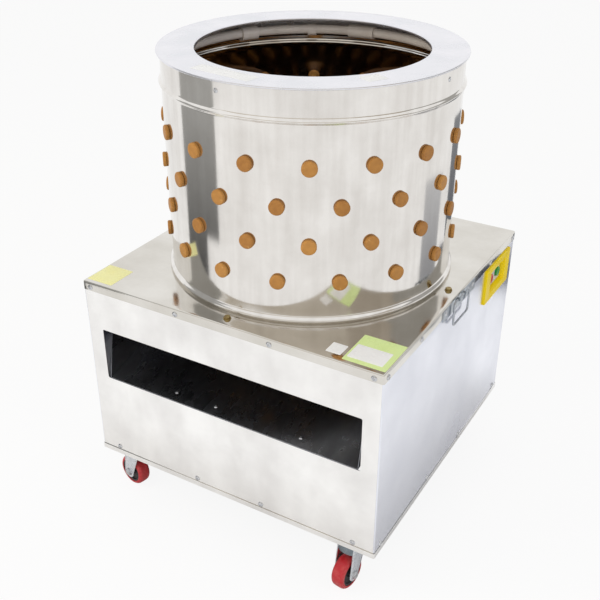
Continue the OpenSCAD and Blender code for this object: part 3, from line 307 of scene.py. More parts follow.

# %% [markdown]
# ## Painted shade inside the drum
# The drum's inner face gets a darker colour, painted shade for the little light that reaches inside,
# so it mirrors less than the outside. Both faces belong to one sheet with one material, and the
# distance from the drum's axis tells them apart.

# %% Drum inner face, painted shade
painted_shade_r = drum_r - drum_t + 0.2 * mm
tree = drum_mirror.node_tree
shader = tree.nodes["Principled BSDF"]
place = add(tree, "TexCoord").outputs["Object"]
in_plan = add(tree, "VectorMath", {0: place, 1: (1, 1, 0)}, operation="MULTIPLY")
from_axis = add(tree, "VectorMath", {0: in_plan.outputs[0]}, operation="LENGTH")
inner_face_shaded = add(tree, "Math", {0: from_axis.outputs["Value"], 1: painted_shade_r}, operation="LESS_THAN")
outside_colour = shader.inputs["Base Color"].links[0].from_socket
# Painted shade: the inner face takes the darker #928A85 in place of the outside colour.
film_and_shade = add(tree, "MixRGB", {"Fac": inner_face_shaded.outputs[0], "Color1": outside_colour, "Color2": linear("#928A85")})
tree.links.new(film_and_shade.outputs[0], shader.inputs["Base Color"])
print("film within", round(painted_shade_r / mm, 1), "mm of the axis")

# %% [markdown]
# ## Rim ring
# A flat ring closes the drum's top edge. Its outer edge is rolled into a hem that overhangs the
# wall, its inner edge is turned down so that no hand meets raw sheet, and a short skirt inside the
# wall takes the rivets. Ring, roll and lip are one closed profile turned round the drum's axis.

# %% Rim ring
ring_t, ring_top = 1.5 * mm, rim_top - 0.4 * mm
hem_r, lip_r, lip_drop, throat_r = 2.5 * mm, 3 * mm, 8 * mm, 232 * mm
hem_c = np.array([304.5 * mm, rim_top - hem_r])
lip_c = np.array([throat_r + lip_r, ring_top - lip_r])
hem = arc_points(hem_c, hem_r, np.radians(np.linspace(90, -150, 13)))
lip = arc_points(lip_c, lip_r, np.radians(np.linspace(90, 180, 7)))
ring_loop = np.concatenate([
    np.stack([np.linspace(302, 240, 9) * mm, np.full(9, ring_top)], -1), lip,
    [[throat_r, rim_top - lip_drop], [throat_r + ring_t, rim_top - lip_drop],
     [throat_r + ring_t, ring_top - lip_r - 0.4 * mm], [throat_r + lip_r, ring_top - ring_t]],
    np.stack([np.linspace(240, 301, 5) * mm, np.full(5, ring_top - ring_t)], -1), hem[::-1]])
skirt_out, skirt_in, skirt_low, skirt_high = 298.2, 296.8, 990.5, 1022.4
skirt_loop = np.array([[skirt_out, skirt_low], [skirt_out, skirt_high], [skirt_in, skirt_high],
                       [skirt_in, skirt_low]]) * mm
make_piece("rim_ring", [shell(turned(loop, 216), True, True) for loop in (ring_loop, skirt_loop)],
           ring_satin, "cabinet", ["drum_rim_ring"])

# %% [markdown]
# ## Natural rubber
# Plucking fingers are moulded from natural rubber: ochre brown, dull, a little paler where the
# mould's halves met, and no two from the same batch quite alike. The mesh carries two numbers per
# point for this: the tone of its own finger, and the distance from the mould line across its head.

# %% Rubber material
finger_rubber, tree, shader, place = open_material("natural_rubber_moulded", Metallic=0.0)
tone = add(tree, "Attribute", attribute_name="tone").outputs["Fac"]
mottle = add(tree, "TexNoise", {"Vector": place, "Scale": 1000 / 9, "Detail": 4.0}).outputs["Fac"]
blend = add(tree, "Math", {0: tone, 1: mottle}, operation="ADD").outputs[0]
blend = add(tree, "MapRange", {"Value": blend, "From Min": 0.35, "From Max": 1.25}).outputs[0]
ochre = add(tree, "MixRGB", {"Fac": blend, "Color1": linear("#A26B2A"), "Color2": linear("#C48B41")})
line = add(tree, "Attribute", attribute_name="mould_line").outputs["Fac"]
line = add(tree, "Math", {0: line, 1: 0.05}, operation="LESS_THAN").outputs[0]
line = add(tree, "Math", {0: line, 1: 0.55}, operation="MULTIPLY").outputs[0]
ochre = add(tree, "MixRGB", {"Fac": line, "Color1": ochre.outputs[0], "Color2": linear("#E3B56C")})
skin = add(tree, "TexNoise", {"Vector": place, "Scale": 1000 / 1.5, "Detail": 2.0})
grain = add(tree, "Bump", {"Height": skin.outputs["Fac"], "Strength": 0.5, "Distance": 0.15 * mm})
dull = add(tree, "MapRange", {"Value": mottle, "To Min": 0.42, "To Max": 0.62})
connect(tree, shader, ochre, dull, grain)
print(finger_rubber.name)

# %% [markdown]
# ## A finger
# A finger is pulled through its hole until the sheet sits in the neck: a flat round head stays
# outside, a collar and a ribbed tapering length point inwards. One profile is turned into a finger.
# Each copy gets its own tone and its own turn about its length, from a seeded generator.

# %% Finger grid
head_r, head_t, neck_r, collar_r, rib_count = 15, 7.5, 9.9, 13, 8


def finger(grip):
    """A finger along Z, head below zero, the sheet of thickness grip above it: a profile of
    (height, radius) in millimetres turned round Z, the ribs a cosine wave on a straight taper."""
    base = grip + 0.35
    t = np.linspace(0, 1, 41)
    head = [[-head_t, 0], [-head_t, 8], [-7.45, 12.2], [-7.1, 13.6], [-6.3, 14.6], [-5.2, head_r],
            [-1.0, head_r], [-0.2, 14.5], [0, 13.8], [0, neck_r]]
    collar = [[base, neck_r], [base, 12.4], [base + 0.6, collar_r], [base + 5.4, collar_r], [base + 6, 12.4]]
    ribs = np.stack([base + 6.2 + 81 * t,
                     11 - 3 * t - 0.6 * (1 + np.cos(2 * np.pi * rib_count * t))], -1)
    tip = [[base + 92, 7.2], [base + 93.6, 5.6], [base + 94, 3], [base + 94, 0]]
    profile = np.concatenate([head, collar, ribs, tip]) * mm
    return turned(profile[:, ::-1], 20)


def finger_marks(points, count, seed):
    """For each point of each copy: the copy's own tone, and its distance from the head's mould line."""
    r = np.random.default_rng(seed)
    on_head = (points[..., 2] < (0.5 - head_t) * mm) & (points[..., 0] > 1 * mm)
    away = np.where(on_head, np.abs(points[..., 1]) / (head_r * mm), 9.0)
    away = away[None] + np.where(r.random(count) < 0.4, 0.0, 9.0)[:, None, None]
    return {"tone": np.broadcast_to(r.random(count)[:, None, None] * 0.6, away.shape), "mould_line": away}


def spun(axes, seed):
    """Turns each copy's first two axes about its third by a seeded angle, as fingers are fitted."""
    a = np.random.default_rng(seed).uniform(0, 2 * np.pi, len(axes))[:, None]
    x = axes[:, 0] * np.cos(a) + axes[:, 1] * np.sin(a)
    y = axes[:, 1] * np.cos(a) - axes[:, 0] * np.sin(a)
    return np.stack([x, y, axes[:, 2]], 1)


drum_finger = finger(drum_t / mm)
print("finger grid", drum_finger.shape)

# %% [markdown]
# ## Four rows of fingers
# The rows stand one above the other, and every second row is shifted by half a step, as bricks are,
# so that a bird meets rubber all over. Each copy's Z axis points at the drum's centre line.

# %% Drum fingers
per_row, first_turn, low_row, row_step = 16, 6.4, 651, 76
finger_step = 360 / per_row
for row in range(4):
    shift = finger_step / 2 if row % 2 == 0 else 0.0
    around = np.radians(np.arange(per_row) * finger_step + first_turn + shift)
    outward = np.stack([np.cos(around), np.sin(around), 0 * around], -1)
    roots = drum_r * outward + [0, 0, (low_row + row_step * row) * mm]
    grids = stand(drum_finger, roots, spun(facing(-outward), 10 + row))
    make_piece(f"rubber_fingers_row_{row + 1}", [shell(grids, True)], finger_rubber, "cabinet",
               [f"drum_fingers_row_{row + 1}"], 50,
               marks=finger_marks(drum_finger, per_row, row))

# %% [markdown]
# ## Feather plate and its fingers
# The plate at the drum's foot spins and carries three circles of fingers that point up, with their
# heads below. It stays the solid from the frame, which is an exact disc with its holes; only its
# fingers are swapped for finer ones, which ride on the rotor.

# %% Plate fingers and plate finish
plate_low, plate_high = (corner[2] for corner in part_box("feather_plate"))
circles = [(105, 6, 0.0), (175, 12, 9.0), (245, 16, 18.0)]  # radius in mm, count, first bearing
spots = np.concatenate([np.stack([r * mm * np.cos(a), r * mm * np.sin(a), 0 * a + plate_low], -1)
                        for r, n, p in circles for a in [np.radians(np.arange(n) * 360 / n + p)]])
plate_finger = finger((plate_high - plate_low) / mm)
upright = np.broadcast_to(np.eye(3), (len(spots), 3, 3))
grids = stand(plate_finger, spots, spun(upright, 21))
make_piece("rubber_fingers_plate", [shell(grids, True)], finger_rubber, "feather_rotor",
           ["plate_fingers"], 50, marks=finger_marks(plate_finger, len(spots), 22))


def dress(material, *names):
    """Gives carried-over solids their finish through their objects' material slots."""
    for name in names:
        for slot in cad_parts[name].material_slots:
            slot.material = material


# The plate's tint, darker than the drum's, is partly painted shade for the dim foot of the drum.
plate_brushed = stainless("stainless_plate_scoured", "#B9B8B6", "#A3A19E", (0.22, 0.38), 45, (3, 60, 30),
                          (80, 80, 80), 0.3)
dress(plate_brushed, "feather_plate")

# %% [markdown]
# ## Deck
# The deck is one sheet with a round hole for the drum, bent down all round into a skirt. Its flat
# is a blend from the circle of the hole to the rounded square of the bend; the skirt then follows a
# quarter round and drops straight. The same outline carries the underside, one sheet lower.

# %% Deck
skirt_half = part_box("top_plate")[1][0]
bend_r, sheet_t, hole_r, skirt_drop = 3.5 * mm, 1.4 * mm, 300.5 * mm, 20 * mm
edge, edge_n = outline(skirt_half - bend_r, skirt_half - bend_r, 1.5 * mm, 40, 6)
hole = hole_r * edge / np.linalg.norm(edge, axis=1, keepdims=True)


def deck_flat(z, steps):
    """Rings from the hole's circle to the start of the bend, by straight blends at one height."""
    t = np.linspace(0, 1, steps)[None, :, None]
    flat = hole[:, None] * (1 - t) + edge[:, None] * t
    return np.concatenate([flat, np.full(flat.shape[:2] + (1,), z)], -1)


def deck_bend(radius, turn):
    """The quarter round: out along the normal by radius sin a, down by radius (1 - cos a)."""
    flat = edge[:, None] + edge_n[:, None] * (radius * np.sin(turn))[None, :, None]
    drop = np.broadcast_to(deck_top - bend_r + radius * np.cos(turn), flat.shape[:2])
    return np.concatenate([flat, drop[..., None]], -1)


quarter = np.radians(np.linspace(0, 90, 7))
outer, inner = deck_bend(bend_r, quarter[1:]), deck_bend(bend_r - sheet_t, quarter)[:, ::-1]
skirt_foot = np.stack([outer[:, -1], inner[:, 0]], 1)
skirt_foot[..., 2] = deck_top - skirt_drop
deck = np.concatenate([deck_flat(deck_top, 8), outer, skirt_foot, inner,
                       deck_flat(deck_top - sheet_t, 4)[:, -2::-1]], 1)
make_piece("deck_sheet", [shell(deck, True, True)], deck_soft, "cabinet", ["top_plate"])

# %% [markdown]
# ## Front panel
# A flat sheet with a wide mouth where the feathers leave. The sheet is a ring of points between the
# mouth's outline and its own, with a small round at the mouth's edge that catches a thin bright line.

# %% Front panel
low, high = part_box("front_panel")
face_y, back_y = low[1], high[1]
mid_z, half_z, half_x = (low[2] + high[2]) / 2, (high[2] - low[2]) / 2, 346 * mm
mouth_half_x, mouth_half_z, mouth_corner, mouth_z = 310 * mm, 61 * mm, 3 * mm, 392 * mm
edge_r, edge_start = 0.7 * mm, 0.2 * mm
mouth, mouth_n = outline(mouth_half_x, mouth_half_z, mouth_corner, 24, 5)
frame_edge, _ = outline(half_x, half_z, 0.5 * mm, 24, 5)


def panel_ring(t, y, grow=0.0):
    """Points a share t of the way from the mouth (grown by grow) to the panel's edge, at depth y."""
    m = mouth + mouth_n * grow + [0, mouth_z - mid_z]
    p = m * (1 - t) + frame_edge * t
    return np.stack([p[:, 0], np.full(len(p), y), p[:, 1] + mid_z], -1)


rings = [panel_ring(0, back_y, edge_start), panel_ring(0, face_y + edge_r),
         panel_ring(0, face_y + edge_start, edge_start)]
rings += [panel_ring(t, face_y, edge_r) for t in np.linspace(0, 1, 7)]
rings += [panel_ring(t, back_y, edge_r) for t in (1, 0.5)]
make_piece("front_sheet", [shell(np.stack(rings, 1), True, True)], front_satin, "cabinet", ["front_panel"])

# %% [markdown]
# ## Side panels
# Each side sheet is bent round the cabinet's upright corners and meets the front sheet flush, so the
# corner reads as one soft edge. A plan outline of bend, long side and bend is raised to full
# height. The right one has a window for the switch: grid lines run along its edges, and the cells
# inside are left out.

# %% Side panels
side_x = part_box("right_panel")[1][0]
side_t, fold_r = 1.0 * mm, side_x - half_x
window_y, window_z = np.array([192.5, 287.5]) * mm, np.array([467.5, 522.5]) * mm
run_y = np.concatenate([np.array([-320, -200, -80, 40, 140]) * mm, window_y, [320 * mm]])
rise = np.concatenate([np.array([136.3, 220, 300, 380]) * mm, window_z, [542.7 * mm]])
front_bend = arc_points([half_x, face_y + fold_r], fold_r, np.radians(np.linspace(-90, 0, 7)))
long_side = np.stack([np.full(len(run_y), side_x), run_y], -1)
plan = np.concatenate([front_bend, long_side, (front_bend * [1, -1])[::-1]])


def side_sheet(sign):
    """The plan outline raised through the levels; the left one is the right one turned half round."""
    x, y, z = np.broadcast_arrays(sign * plan[:, :1], sign * plan[:, 1:], rise[None, :])
    return np.stack([x, y, z], -1)


def within(values, span):
    """True for each step between neighbouring values that lies inside the span."""
    return (values[:-1] >= span[0] - merge_gap) & (values[1:] <= span[1] + merge_gap)


in_window = np.outer(within(plan[:, 1], window_y), within(rise, window_z))
make_piece("right_sheet", [shell(side_sheet(1), keep=~in_window)], side_satin, "cabinet", ["right_panel"],
           30, side_t)
make_piece("left_sheet", [shell(side_sheet(-1))], side_satin, "cabinet", ["left_panel"],
           30, side_t)
dress(front_satin, "back_panel")

# %% [markdown]
# ## Foot rim and chute
# A thin folded strip closes the foot of the panels all round: an upright face that stands just clear
# of them, with a lip turned inwards. Behind the mouth lies the chute, a sloped floor between two
# cheeks. Its solid is right as it stands and only needs its finish: dull, with a tint darker than the
# other steel that is partly painted shade for the dark inside the cabinet.

# %% Foot rim
foot_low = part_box("foot_rim")[0][2]
strip, strip_n = outline(skirt_half, skirt_half, 3 * mm, 12, 6)
section = np.array([[-0.15, 0], [0, 0.15], [0, 11.85], [-0.15, 12], [-1.2, 12], [-1.2, 0.6],
                    [-6.5, 0.6], [-6.5, 0]]) * mm
strip_xy = strip[:, None] + strip_n[:, None] * section[None, :, :1]
strip_z = np.broadcast_to(foot_low + section[None, :, 1:], strip_xy.shape[:2] + (1,))
rim_grid = np.concatenate([strip_xy, strip_z], -1)
make_piece("foot_strip", [shell(rim_grid, True, True)], front_satin, "cabinet", ["foot_rim"])
dress(chute_dark, "feather_chute")

# %% [markdown]
# ## Zinc plating
# Screws, castor forks, handles and brackets are plain steel with a thin coat of zinc. Clear
# passivation leaves a cold, slightly blue grey; the yellow kind on the deck bolts is a thin gold
# film with cloudy patches. The bails are bright drawn wire. All are metals with soft edges, and
# their speckle is drawn at 2 mm, coarser than the real one, so that it shows.

# %% Zinc finishes
def zinc_plate(name, cold, warm, rough, patch_mm):
    """Plated steel: two tints in cloudy patches, roughness that follows a finer speckle."""
    material, tree, shader, place = open_material(name, Metallic=1.0)
    cloud = add(tree, "TexNoise", {"Vector": place, "Scale": 1000 / patch_mm, "Detail": 3.0})
    cloud = add(tree, "MapRange", {"Value": cloud.outputs["Fac"], "From Min": 0.35, "From Max": 0.65})
    colour = add(tree, "MixRGB", {"Fac": cloud.outputs[0], "Color1": linear(cold), "Color2": linear(warm)})
    speck = add(tree, "TexNoise", {"Vector": place, "Scale": 1000 / 2.0, "Detail": 3.0})
    gloss = add(tree, "MapRange", {"Value": speck.outputs["Fac"], "To Min": rough[0], "To Max": rough[1]})
    grain = add(tree, "Bump", {"Height": speck.outputs["Fac"], "Strength": 0.35, "Distance": 0.1 * mm})
    connect(tree, shader, colour, gloss, grain)
    return material


zinc_clear = zinc_plate("zinc_clear_passivated", "#EFF4FB", "#DDE1E6", (0.20, 0.34), 18)
zinc_yellow = zinc_plate("zinc_yellow_passivated", "#B5A470", "#9C845E", (0.28, 0.45), 6)
zinc_smoked = zinc_plate("zinc_smoked_plated", "#8A949B", "#767F87", (0.20, 0.34), 18)
screw_bright = zinc_plate("zinc_bright_screw", "#D6D7DA", "#BCBDC0", (0.10, 0.20), 5)
# The bail wire and the handle plates are greyer than bright zinc: partly painted shade, in place of the
# shadow that the mirror panels behind them do not show.
wire_bright = zinc_plate("steel_wire_drawn", "#B9BDC2", "#9DA1A6", (0.08, 0.16), 5)
plate_grey = zinc_plate("zinc_grey_plated", "#B4BAC0", "#A0A6AC", (0.16, 0.28), 12)
dress(plate_grey, "handle_plates")
dress(zinc_clear, "plate_fixings", "castor_plates")
print("plated finishes:", [m.name for m in bpy.data.materials if m.name.startswith(("zinc", "steel"))])

# %% [markdown]
# ## Panel screws
# Pan-head screws with a cross recess hold the panels. A head is a height over a disc of rings: a
# dome, less the cross where the point lies within either arm. Copies face out of their sheet.

# %% Screws
def pan_head(radius=6.0, height=2.6, cross_deep=1.3):
    """Height over a disc: a dome that falls by 0.75 r to the fifth, less a cross recess of two arms."""
    r = np.concatenate([np.linspace(0, 0.62, 8), [0.75, 0.86, 0.94, 0.98, 1.0]])[None, :]
    a = np.radians(np.arange(0, 360, 9))[:, None]
    x, y = np.abs(r * np.cos(a)), np.abs(r * np.sin(a))
    arm = np.clip((0.16 - np.minimum(x, y)) / 0.05, 0, 1) * np.clip((0.6 - np.maximum(x, y)) / 0.1, 0, 1)
    z = height * (1 - 0.75 * r ** 5) - cross_deep * arm
    top = np.stack([radius * r * np.cos(a), radius * r * np.sin(a), z + 0 * a], -1)
    foot = np.stack([radius * np.cos(a), radius * np.sin(a), 0 * a], -1)
    return np.concatenate([top, foot], 1) * mm


skirt_face, skirt_row, foot_face, foot_row = 350, 551, 348.5, 143.5
rows = []
for s in (-1, 1):
    rows += [((x, s * skirt_face, skirt_row), (0, s, 0)) for x in (-330, -110, 110, 330)]
    rows += [((s * skirt_face, y, skirt_row), (s, 0, 0)) for y in (-333, -186, 186, 333)]
    rows += [((x, s * foot_face, foot_row), (0, s, 0)) for x in (-300, -82, 82, 300)]
    rows += [((s * foot_face, y, foot_row), (s, 0, 0)) for y in (-322, -90, 90, 322)]
at, out = np.array([r[0] for r in rows]) * mm, np.array([r[1] for r in rows], float)
make_piece("pan_screws", [shell(stand(pan_head(), at, spun(facing(out), 31)), True)], screw_bright, "cabinet",
           ["panel_screws"], 40)

# %% [markdown]
# ## Blind rivets
# Domed blind rivets hold the ring to the drum, the floor of the chute and the plates of the
# handles. A rivet is a low turned dome with a dimple where its pin broke off.

# %% Rivets
chute_rise, chute_lip_y, chute_lip_z, chute_t, rivet_in = 0.2638, -347, 331, 1.2, 22
slope = np.arctan(chute_rise)
chute_out = np.repeat([[0, -np.sin(slope), np.cos(slope)]], 3, 0)
chute_at = np.array([[x, chute_lip_y + rivet_in, chute_lip_z + rivet_in * chute_rise + chute_t]
                     for x in (-140, -39, 166)]) * mm
first_rivet, rivet_drop = -94.5, 22 * mm
rim_turn = np.radians(first_rivet + 90 * np.arange(4))
rim_out = np.stack([np.cos(rim_turn), np.sin(rim_turn), 0 * rim_turn], -1)
rim_at = drum_r * rim_out + [0, 0, rim_top - rivet_drop]
handle_face, handle_hole = 352, 72
handle_out = np.array([[s, 0, 0] for s in (1, 1, -1, -1)], float)
handle_at = np.array([[s * handle_face, y, skirt_row]
                      for s in (1, -1) for y in (-handle_hole, handle_hole)]) * mm
rivet = turned(np.array([[0, 1.05], [0.8, 1.1], [1.2, 1.45], [1.9, 1.5], [3.1, 1.15], [4.1, 0.7],
                         [4.7, 0.25], [4.8, 0]]) * mm, 24)
at = np.concatenate([rim_at, chute_at, handle_at])
out = np.concatenate([rim_out, chute_out, handle_out])
make_piece("domed_rivets", [shell(stand(rivet, at, facing(out)), True)], screw_bright, "cabinet",
           ["blind_rivets"], 40)

# %% [markdown]
# ## Deck bolts
# Four hexagon heads on washers hold the deck to the frame beside the drum. A head is again a height
# over a disc, but the disc's edge is a hexagon and the corners of the top are turned off to a cone.

# %% Hexagon heads
def hexagon(flat, height, washer=0.0, washer_t=0.0):
    """Distance to a hexagon's edge is flat / cos(angle within its sixth); the top falls off as a
    cone past 0.93 of the flat. A washer below is a plain turned ring. Sizes in millimetres."""
    a = np.radians(np.arange(0, 360, 7.5))[:, None]
    reach = flat / np.cos((a + np.pi / 6) % (np.pi / 3) - np.pi / 6)
    r = np.array([0, 0.5, 0.80, 0.86, 0.92, 0.96, 1.0])[None, :] * reach
    z = washer_t + height - 0.5 * np.maximum(r - 0.93 * flat, 0)
    top = np.stack([r * np.cos(a), r * np.sin(a), z], -1)
    foot = np.stack([reach * np.cos(a), reach * np.sin(a), washer_t + 0 * a], -1)
    grids = [np.concatenate([top, foot], 1) * mm]
    if washer:
        hole = flat * 0.8
        ring = [[hole, washer_t], [washer - 0.3, washer_t], [washer, washer_t - 0.3], [washer, 0], [hole, 0]]
        grids.append(turned(np.array(ring) * mm, 32))
    return grids


bolt_reach = 326 * mm
bolt_at = np.array([[x * bolt_reach, y * bolt_reach, deck_top]
                    for x, y in ((1, 0), (-1, 0), (0, 1), (0, -1))])
head, washer = hexagon(5.6, 4.4, 8.0, 1.2)
turns = spun(np.broadcast_to(np.eye(3), (4, 3, 3)), 41)
make_piece("yellow_deck_bolts", [shell(stand(head, bolt_at, turns), True),
                                 shell(stand(washer, bolt_at, turns), True, True)],
           zinc_yellow, "cabinet", ["deck_bolts"], 30)
dress(zinc_yellow, "machine_bolts")

# %% [markdown]
# ## Mouldings and rubber of the small parts
# The switch surround is glossy yellow ABS, its face a pale grey moulding, the buttons red and green.
# Castor hubs are black nylon, treads red polyurethane with dusty scuffed patches.
# Plastics share one recipe: a colour that varies a little, a fine moulded grain, and dust or wear.

# %% Plastics
def moulded(name, colour, worn, rough, grain_mm, wear_mm=25, wear=0.5, grain_height_mm=0.04):
    """Moulded plastic or rubber: worn colour in soft patches, roughness with them, fine grain bump."""
    material, tree, shader, place = open_material(name, Metallic=0.0)
    patch = add(tree, "TexNoise",
                {"Vector": place, "Scale": 1000 / wear_mm, "Detail": 5.0, "Roughness": 0.6})
    patch = add(tree, "MapRange",
                {"Value": patch.outputs["Fac"], "From Min": 0.45, "From Max": 0.75, "To Max": wear})
    tint = add(tree, "MixRGB", {"Fac": patch.outputs[0], "Color1": linear(colour), "Color2": linear(worn)})
    gloss = add(tree, "MapRange", {"Value": patch.outputs[0], "To Min": rough[0], "To Max": rough[1]})
    grit = add(tree, "TexNoise", {"Vector": place, "Scale": 1000 / grain_mm, "Detail": 2.0})
    grain = add(tree, "Bump",
                {"Height": grit.outputs["Fac"], "Strength": 0.6, "Distance": grain_height_mm * mm})
    connect(tree, shader, tint, gloss, grain)
    return material


yellow_abs = moulded("abs_yellow_moulded", "#FFE000", "#FCD200", (0.34, 0.48), 1.2, 25, 0.5, 0.01)
yellow_abs.node_tree.nodes["Principled BSDF"].inputs["Specular IOR Level"].default_value = 0.25
grey_abs = moulded("abs_pale_grey_moulded", "#D9D2CE", "#C4BAB6", (0.32, 0.5), 1.2)
red_abs = moulded("abs_red_moulded", "#C8202A", "#9C1A20", (0.25, 0.4), 1.0)
green_abs = moulded("abs_green_moulded", "#1E9B4B", "#167A3B", (0.25, 0.4), 1.0)
black_nylon = moulded("nylon_black_moulded", "#2B2A2C", "#454345", (0.4, 0.6), 1.4)
red_tread = moulded("polyurethane_red_cast", "#BC222B", "#CC5F5A", (0.32, 0.55), 1.6, 14, 0.6)
# The pipe's colour is paler than grey-beige PVC: partly painted light, for the lamp light that the ring keeps
# off it.
pipe_pvc = moulded("pvc_grey_beige_extruded", "#F3EADF", "#DFD3C6", (0.20, 0.32), 2.0, 30)
dress(pipe_pvc, "spray_inlet", "spray_clips")
dress(grey_abs, "switch_body")
print("plastics:", [m.name for m in bpy.data.materials if m.name.startswith(("abs", "nylon", "poly", "pvc"))])

# %% [markdown]
# ## Finishes of the drive
# Under the deck the frame and the motor are sprayed with enamel, castings are enamelled over their
# sand grain, the belt is wrapped rubber and the shafts are ground steel. These solids stay as the
# frame brings them, because hardly any light falls there, and only get their finish.

# %% Drive finishes
belt_black = moulded("rubber_belt_wrapped", "#232223", "#3A3836", (0.55, 0.75), 1.0, 12)
dark_moulding = moulded("nylon_dark_grey_moulded", "#3A3B3E", "#55565A", (0.4, 0.6), 1.2)
motor_enamel = moulded("enamel_blue_grey_sprayed", "#4F6B80", "#42596B", (0.3, 0.45), 2.5, 40, 0.5, 0.1)
cover_enamel = moulded("enamel_dark_grey_sprayed", "#3C4248", "#50565C", (0.32, 0.5), 2.5, 40, 0.5, 0.1)
# The frame's dark slate is partly painted shade: it matches the dark gap seen through the mouth inside the
# cabinet.
frame_enamel = moulded("enamel_slate_sprayed", "#2E3848", "#3C4655", (0.32, 0.5), 2.5, 40, 0.5, 0.1)
iron_enamel = moulded("enamel_on_cast_iron", "#4A4C4E", "#5D5A56", (0.45, 0.7), 3.0, 20, 0.6, 0.5)
bearing_steel = zinc_plate("bearing_steel_ground", "#C9CBCF", "#B4B6BA", (0.1, 0.2), 8)
dress(belt_black, "v_belt")
dress(dark_moulding, "cable_gland", "motor_terminal_box")
dress(motor_enamel, "motor_body")
dress(cover_enamel, "motor_fan_cover")
dress(iron_enamel, "bearing_housing", "driven_pulley", "motor_pulley", "plate_hub")
dress(frame_enamel, "base_frame", "drum_clips", "bearing_beam", "motor_plate")
dress(bearing_steel, "shaft_bearings", "main_shaft", "motor_shaft")
print("drive finishes:", motor_enamel.name, frame_enamel.name, iron_enamel.name, bearing_steel.name)

# %% [markdown]
# ## Switch surround
# A yellow frame stands on the right side with a recess whose walls taper inwards, so a knock cannot
# start the machine. Nested rounded rectangles, each with its own size and depth, are joined in
# order: round the outer edge, over the face, down the taper, and back behind.

# %% Switch surround
switch_y, switch_z = 240, 495
steps = [(75, 43, 4, 348.5), (75, 43, 4, 351.6), (74.6, 42.6, 4, 352.8), (73.6, 41.6, 3.6, 353.5),
         (48.5, 28.5, 2, 353.5), (47.4, 27.4, 2, 353.2), (46.8, 26.8, 2, 352.2), (42.5, 23.2, 2, 341.6),
         (42.5, 23.2, 2, 339.2), (47.4, 27.4, 2, 339.2), (47.4, 27.4, 2, 348.5)]


def nested(sizes):
    """Rounded rectangles round the switch's centre, joined in order. Each has a half width, a half
    height, a corner radius and its x, in millimetres."""
    rings = [np.concatenate([np.full((len(p), 1), x), p + [switch_y, switch_z]], 1)
             for hy, hz, r, x in sizes for p in [outline(hy, hz, r, 6, 5)[0]]]
    return np.stack(rings, 1) * mm


make_piece("yellow_surround", [shell(nested(steps), True, True)], yellow_abs, "cabinet",
           ["switch_bezel"], 30)

# %% [markdown]
# ## Switch face and buttons
# In the recess lies a pale face in two halves, each with a round hole, and a button stands in each
# hole: green starts, red stops. A button is a turned cap with a shallow dish for the fingertip.

# %% Switch face and buttons
face_back, face_front, hole_radius, half_offset = 339.3, 342.4, 11.6, 20.7
button_foot, button_offset = 333, 22


def holed_half(y):
    """Half of the face plate: rings from a round hole (radius, x) out to its rectangle (inset, x)."""
    edge = outline(20.6, 22, 1.5, 8, 5)[0]
    hole = edge / np.linalg.norm(edge, axis=1, keepdims=True)
    flat = [(hole * r, x) for r, x in ((hole_radius, face_back), (hole_radius, face_front - 0.4),
                                       (hole_radius + 0.4, face_front))]
    flat += [(edge - np.sign(edge) * inset, x)
             for inset, x in ((0.5, face_front), (0, face_front - 0.5), (0, face_back))]
    rings = [np.concatenate([np.full((len(p), 1), x), p + [y, switch_z]], 1) for p, x in flat]
    return np.stack(rings, 1) * mm


make_piece("switch_face", [shell(holed_half(switch_y + s * half_offset), True, True) for s in (-1, 1)],
           grey_abs, "cabinet", crease=30)
button = turned(np.array([[0, 12.6], [4, 12.7], [8, 13.3], [9.4, 13.9], [10.2, 14], [10.8, 13.6],
                          [11, 12.8], [11, -2], [0, -2]]) * mm, 48)
for name, side, material, slot in (("start_button", 1, green_abs, "green_button"),
                                   ("stop_button", -1, red_abs, "red_button")):
    centre = np.array([[button_foot, switch_y + side * button_offset, switch_z]]) * mm
    make_piece(name + "_cap", [shell(stand(button, centre, facing([[1.0, 0, 0]])), True)], material, name,
               [name])

# %% [markdown]
# ## Handles
# A bail of bright wire hangs from two rolled ears on each side. Its loop is a rounded rectangle, and
# the wire is a small circle carried round it: one direction along the outline's normal, one across.

# %% Bails
bail_low, bail_high = (np.array(c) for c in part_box("right_bail"))
wire, ring_a = 2.25 * mm, np.linspace(0, 2 * np.pi, 14, endpoint=False)
hinge_x, _, mid_bail_z = (bail_low + bail_high) / 2
_, half_y, half_l = (bail_high - bail_low) / 2 - wire
loop, loop_n = outline(half_y, half_l, 8 * mm, 10, 9)
yz = loop[:, None] + loop_n[:, None] * (wire * np.cos(ring_a))[None, :, None]
wire_x = np.broadcast_to(hinge_x + wire * np.sin(ring_a), yz.shape[:2])
bail = np.stack([wire_x, yz[..., 0], yz[..., 1] + mid_bail_z], -1)
for name, sign in (("right_bail", 1), ("left_bail", -1)):
    make_piece(name + "_wire", [shell(bail * [sign, sign, 1], True, True)], wire_bright, name, [name])

# %% [markdown]
# ## Spray ring
# A plastic pipe runs round inside the rim and wets the birds; a sleeve joins its two ends. The pipe
# is a circle carried round a circle, and the sleeve the same along an arc, drawn in at both ends.

# %% Pipe and sleeve
spray_r, spray_z, tube_r = 282 * mm, 988 * mm, 10 * mm
sleeve_at, sleeve_half = np.radians(96.7), 31 * mm


def ring_pipe(radius, around):
    """A circle of the given radius (one per step) carried along the ring: the pipe's tube."""
    v = np.linspace(0, 2 * np.pi, 20, endpoint=False)[None, :]
    r = spray_r + radius[:, None] * np.cos(v)
    x, y = r * np.cos(around)[:, None], r * np.sin(around)[:, None]
    return np.stack([x, y, spray_z + radius[:, None] * np.sin(v)], -1)


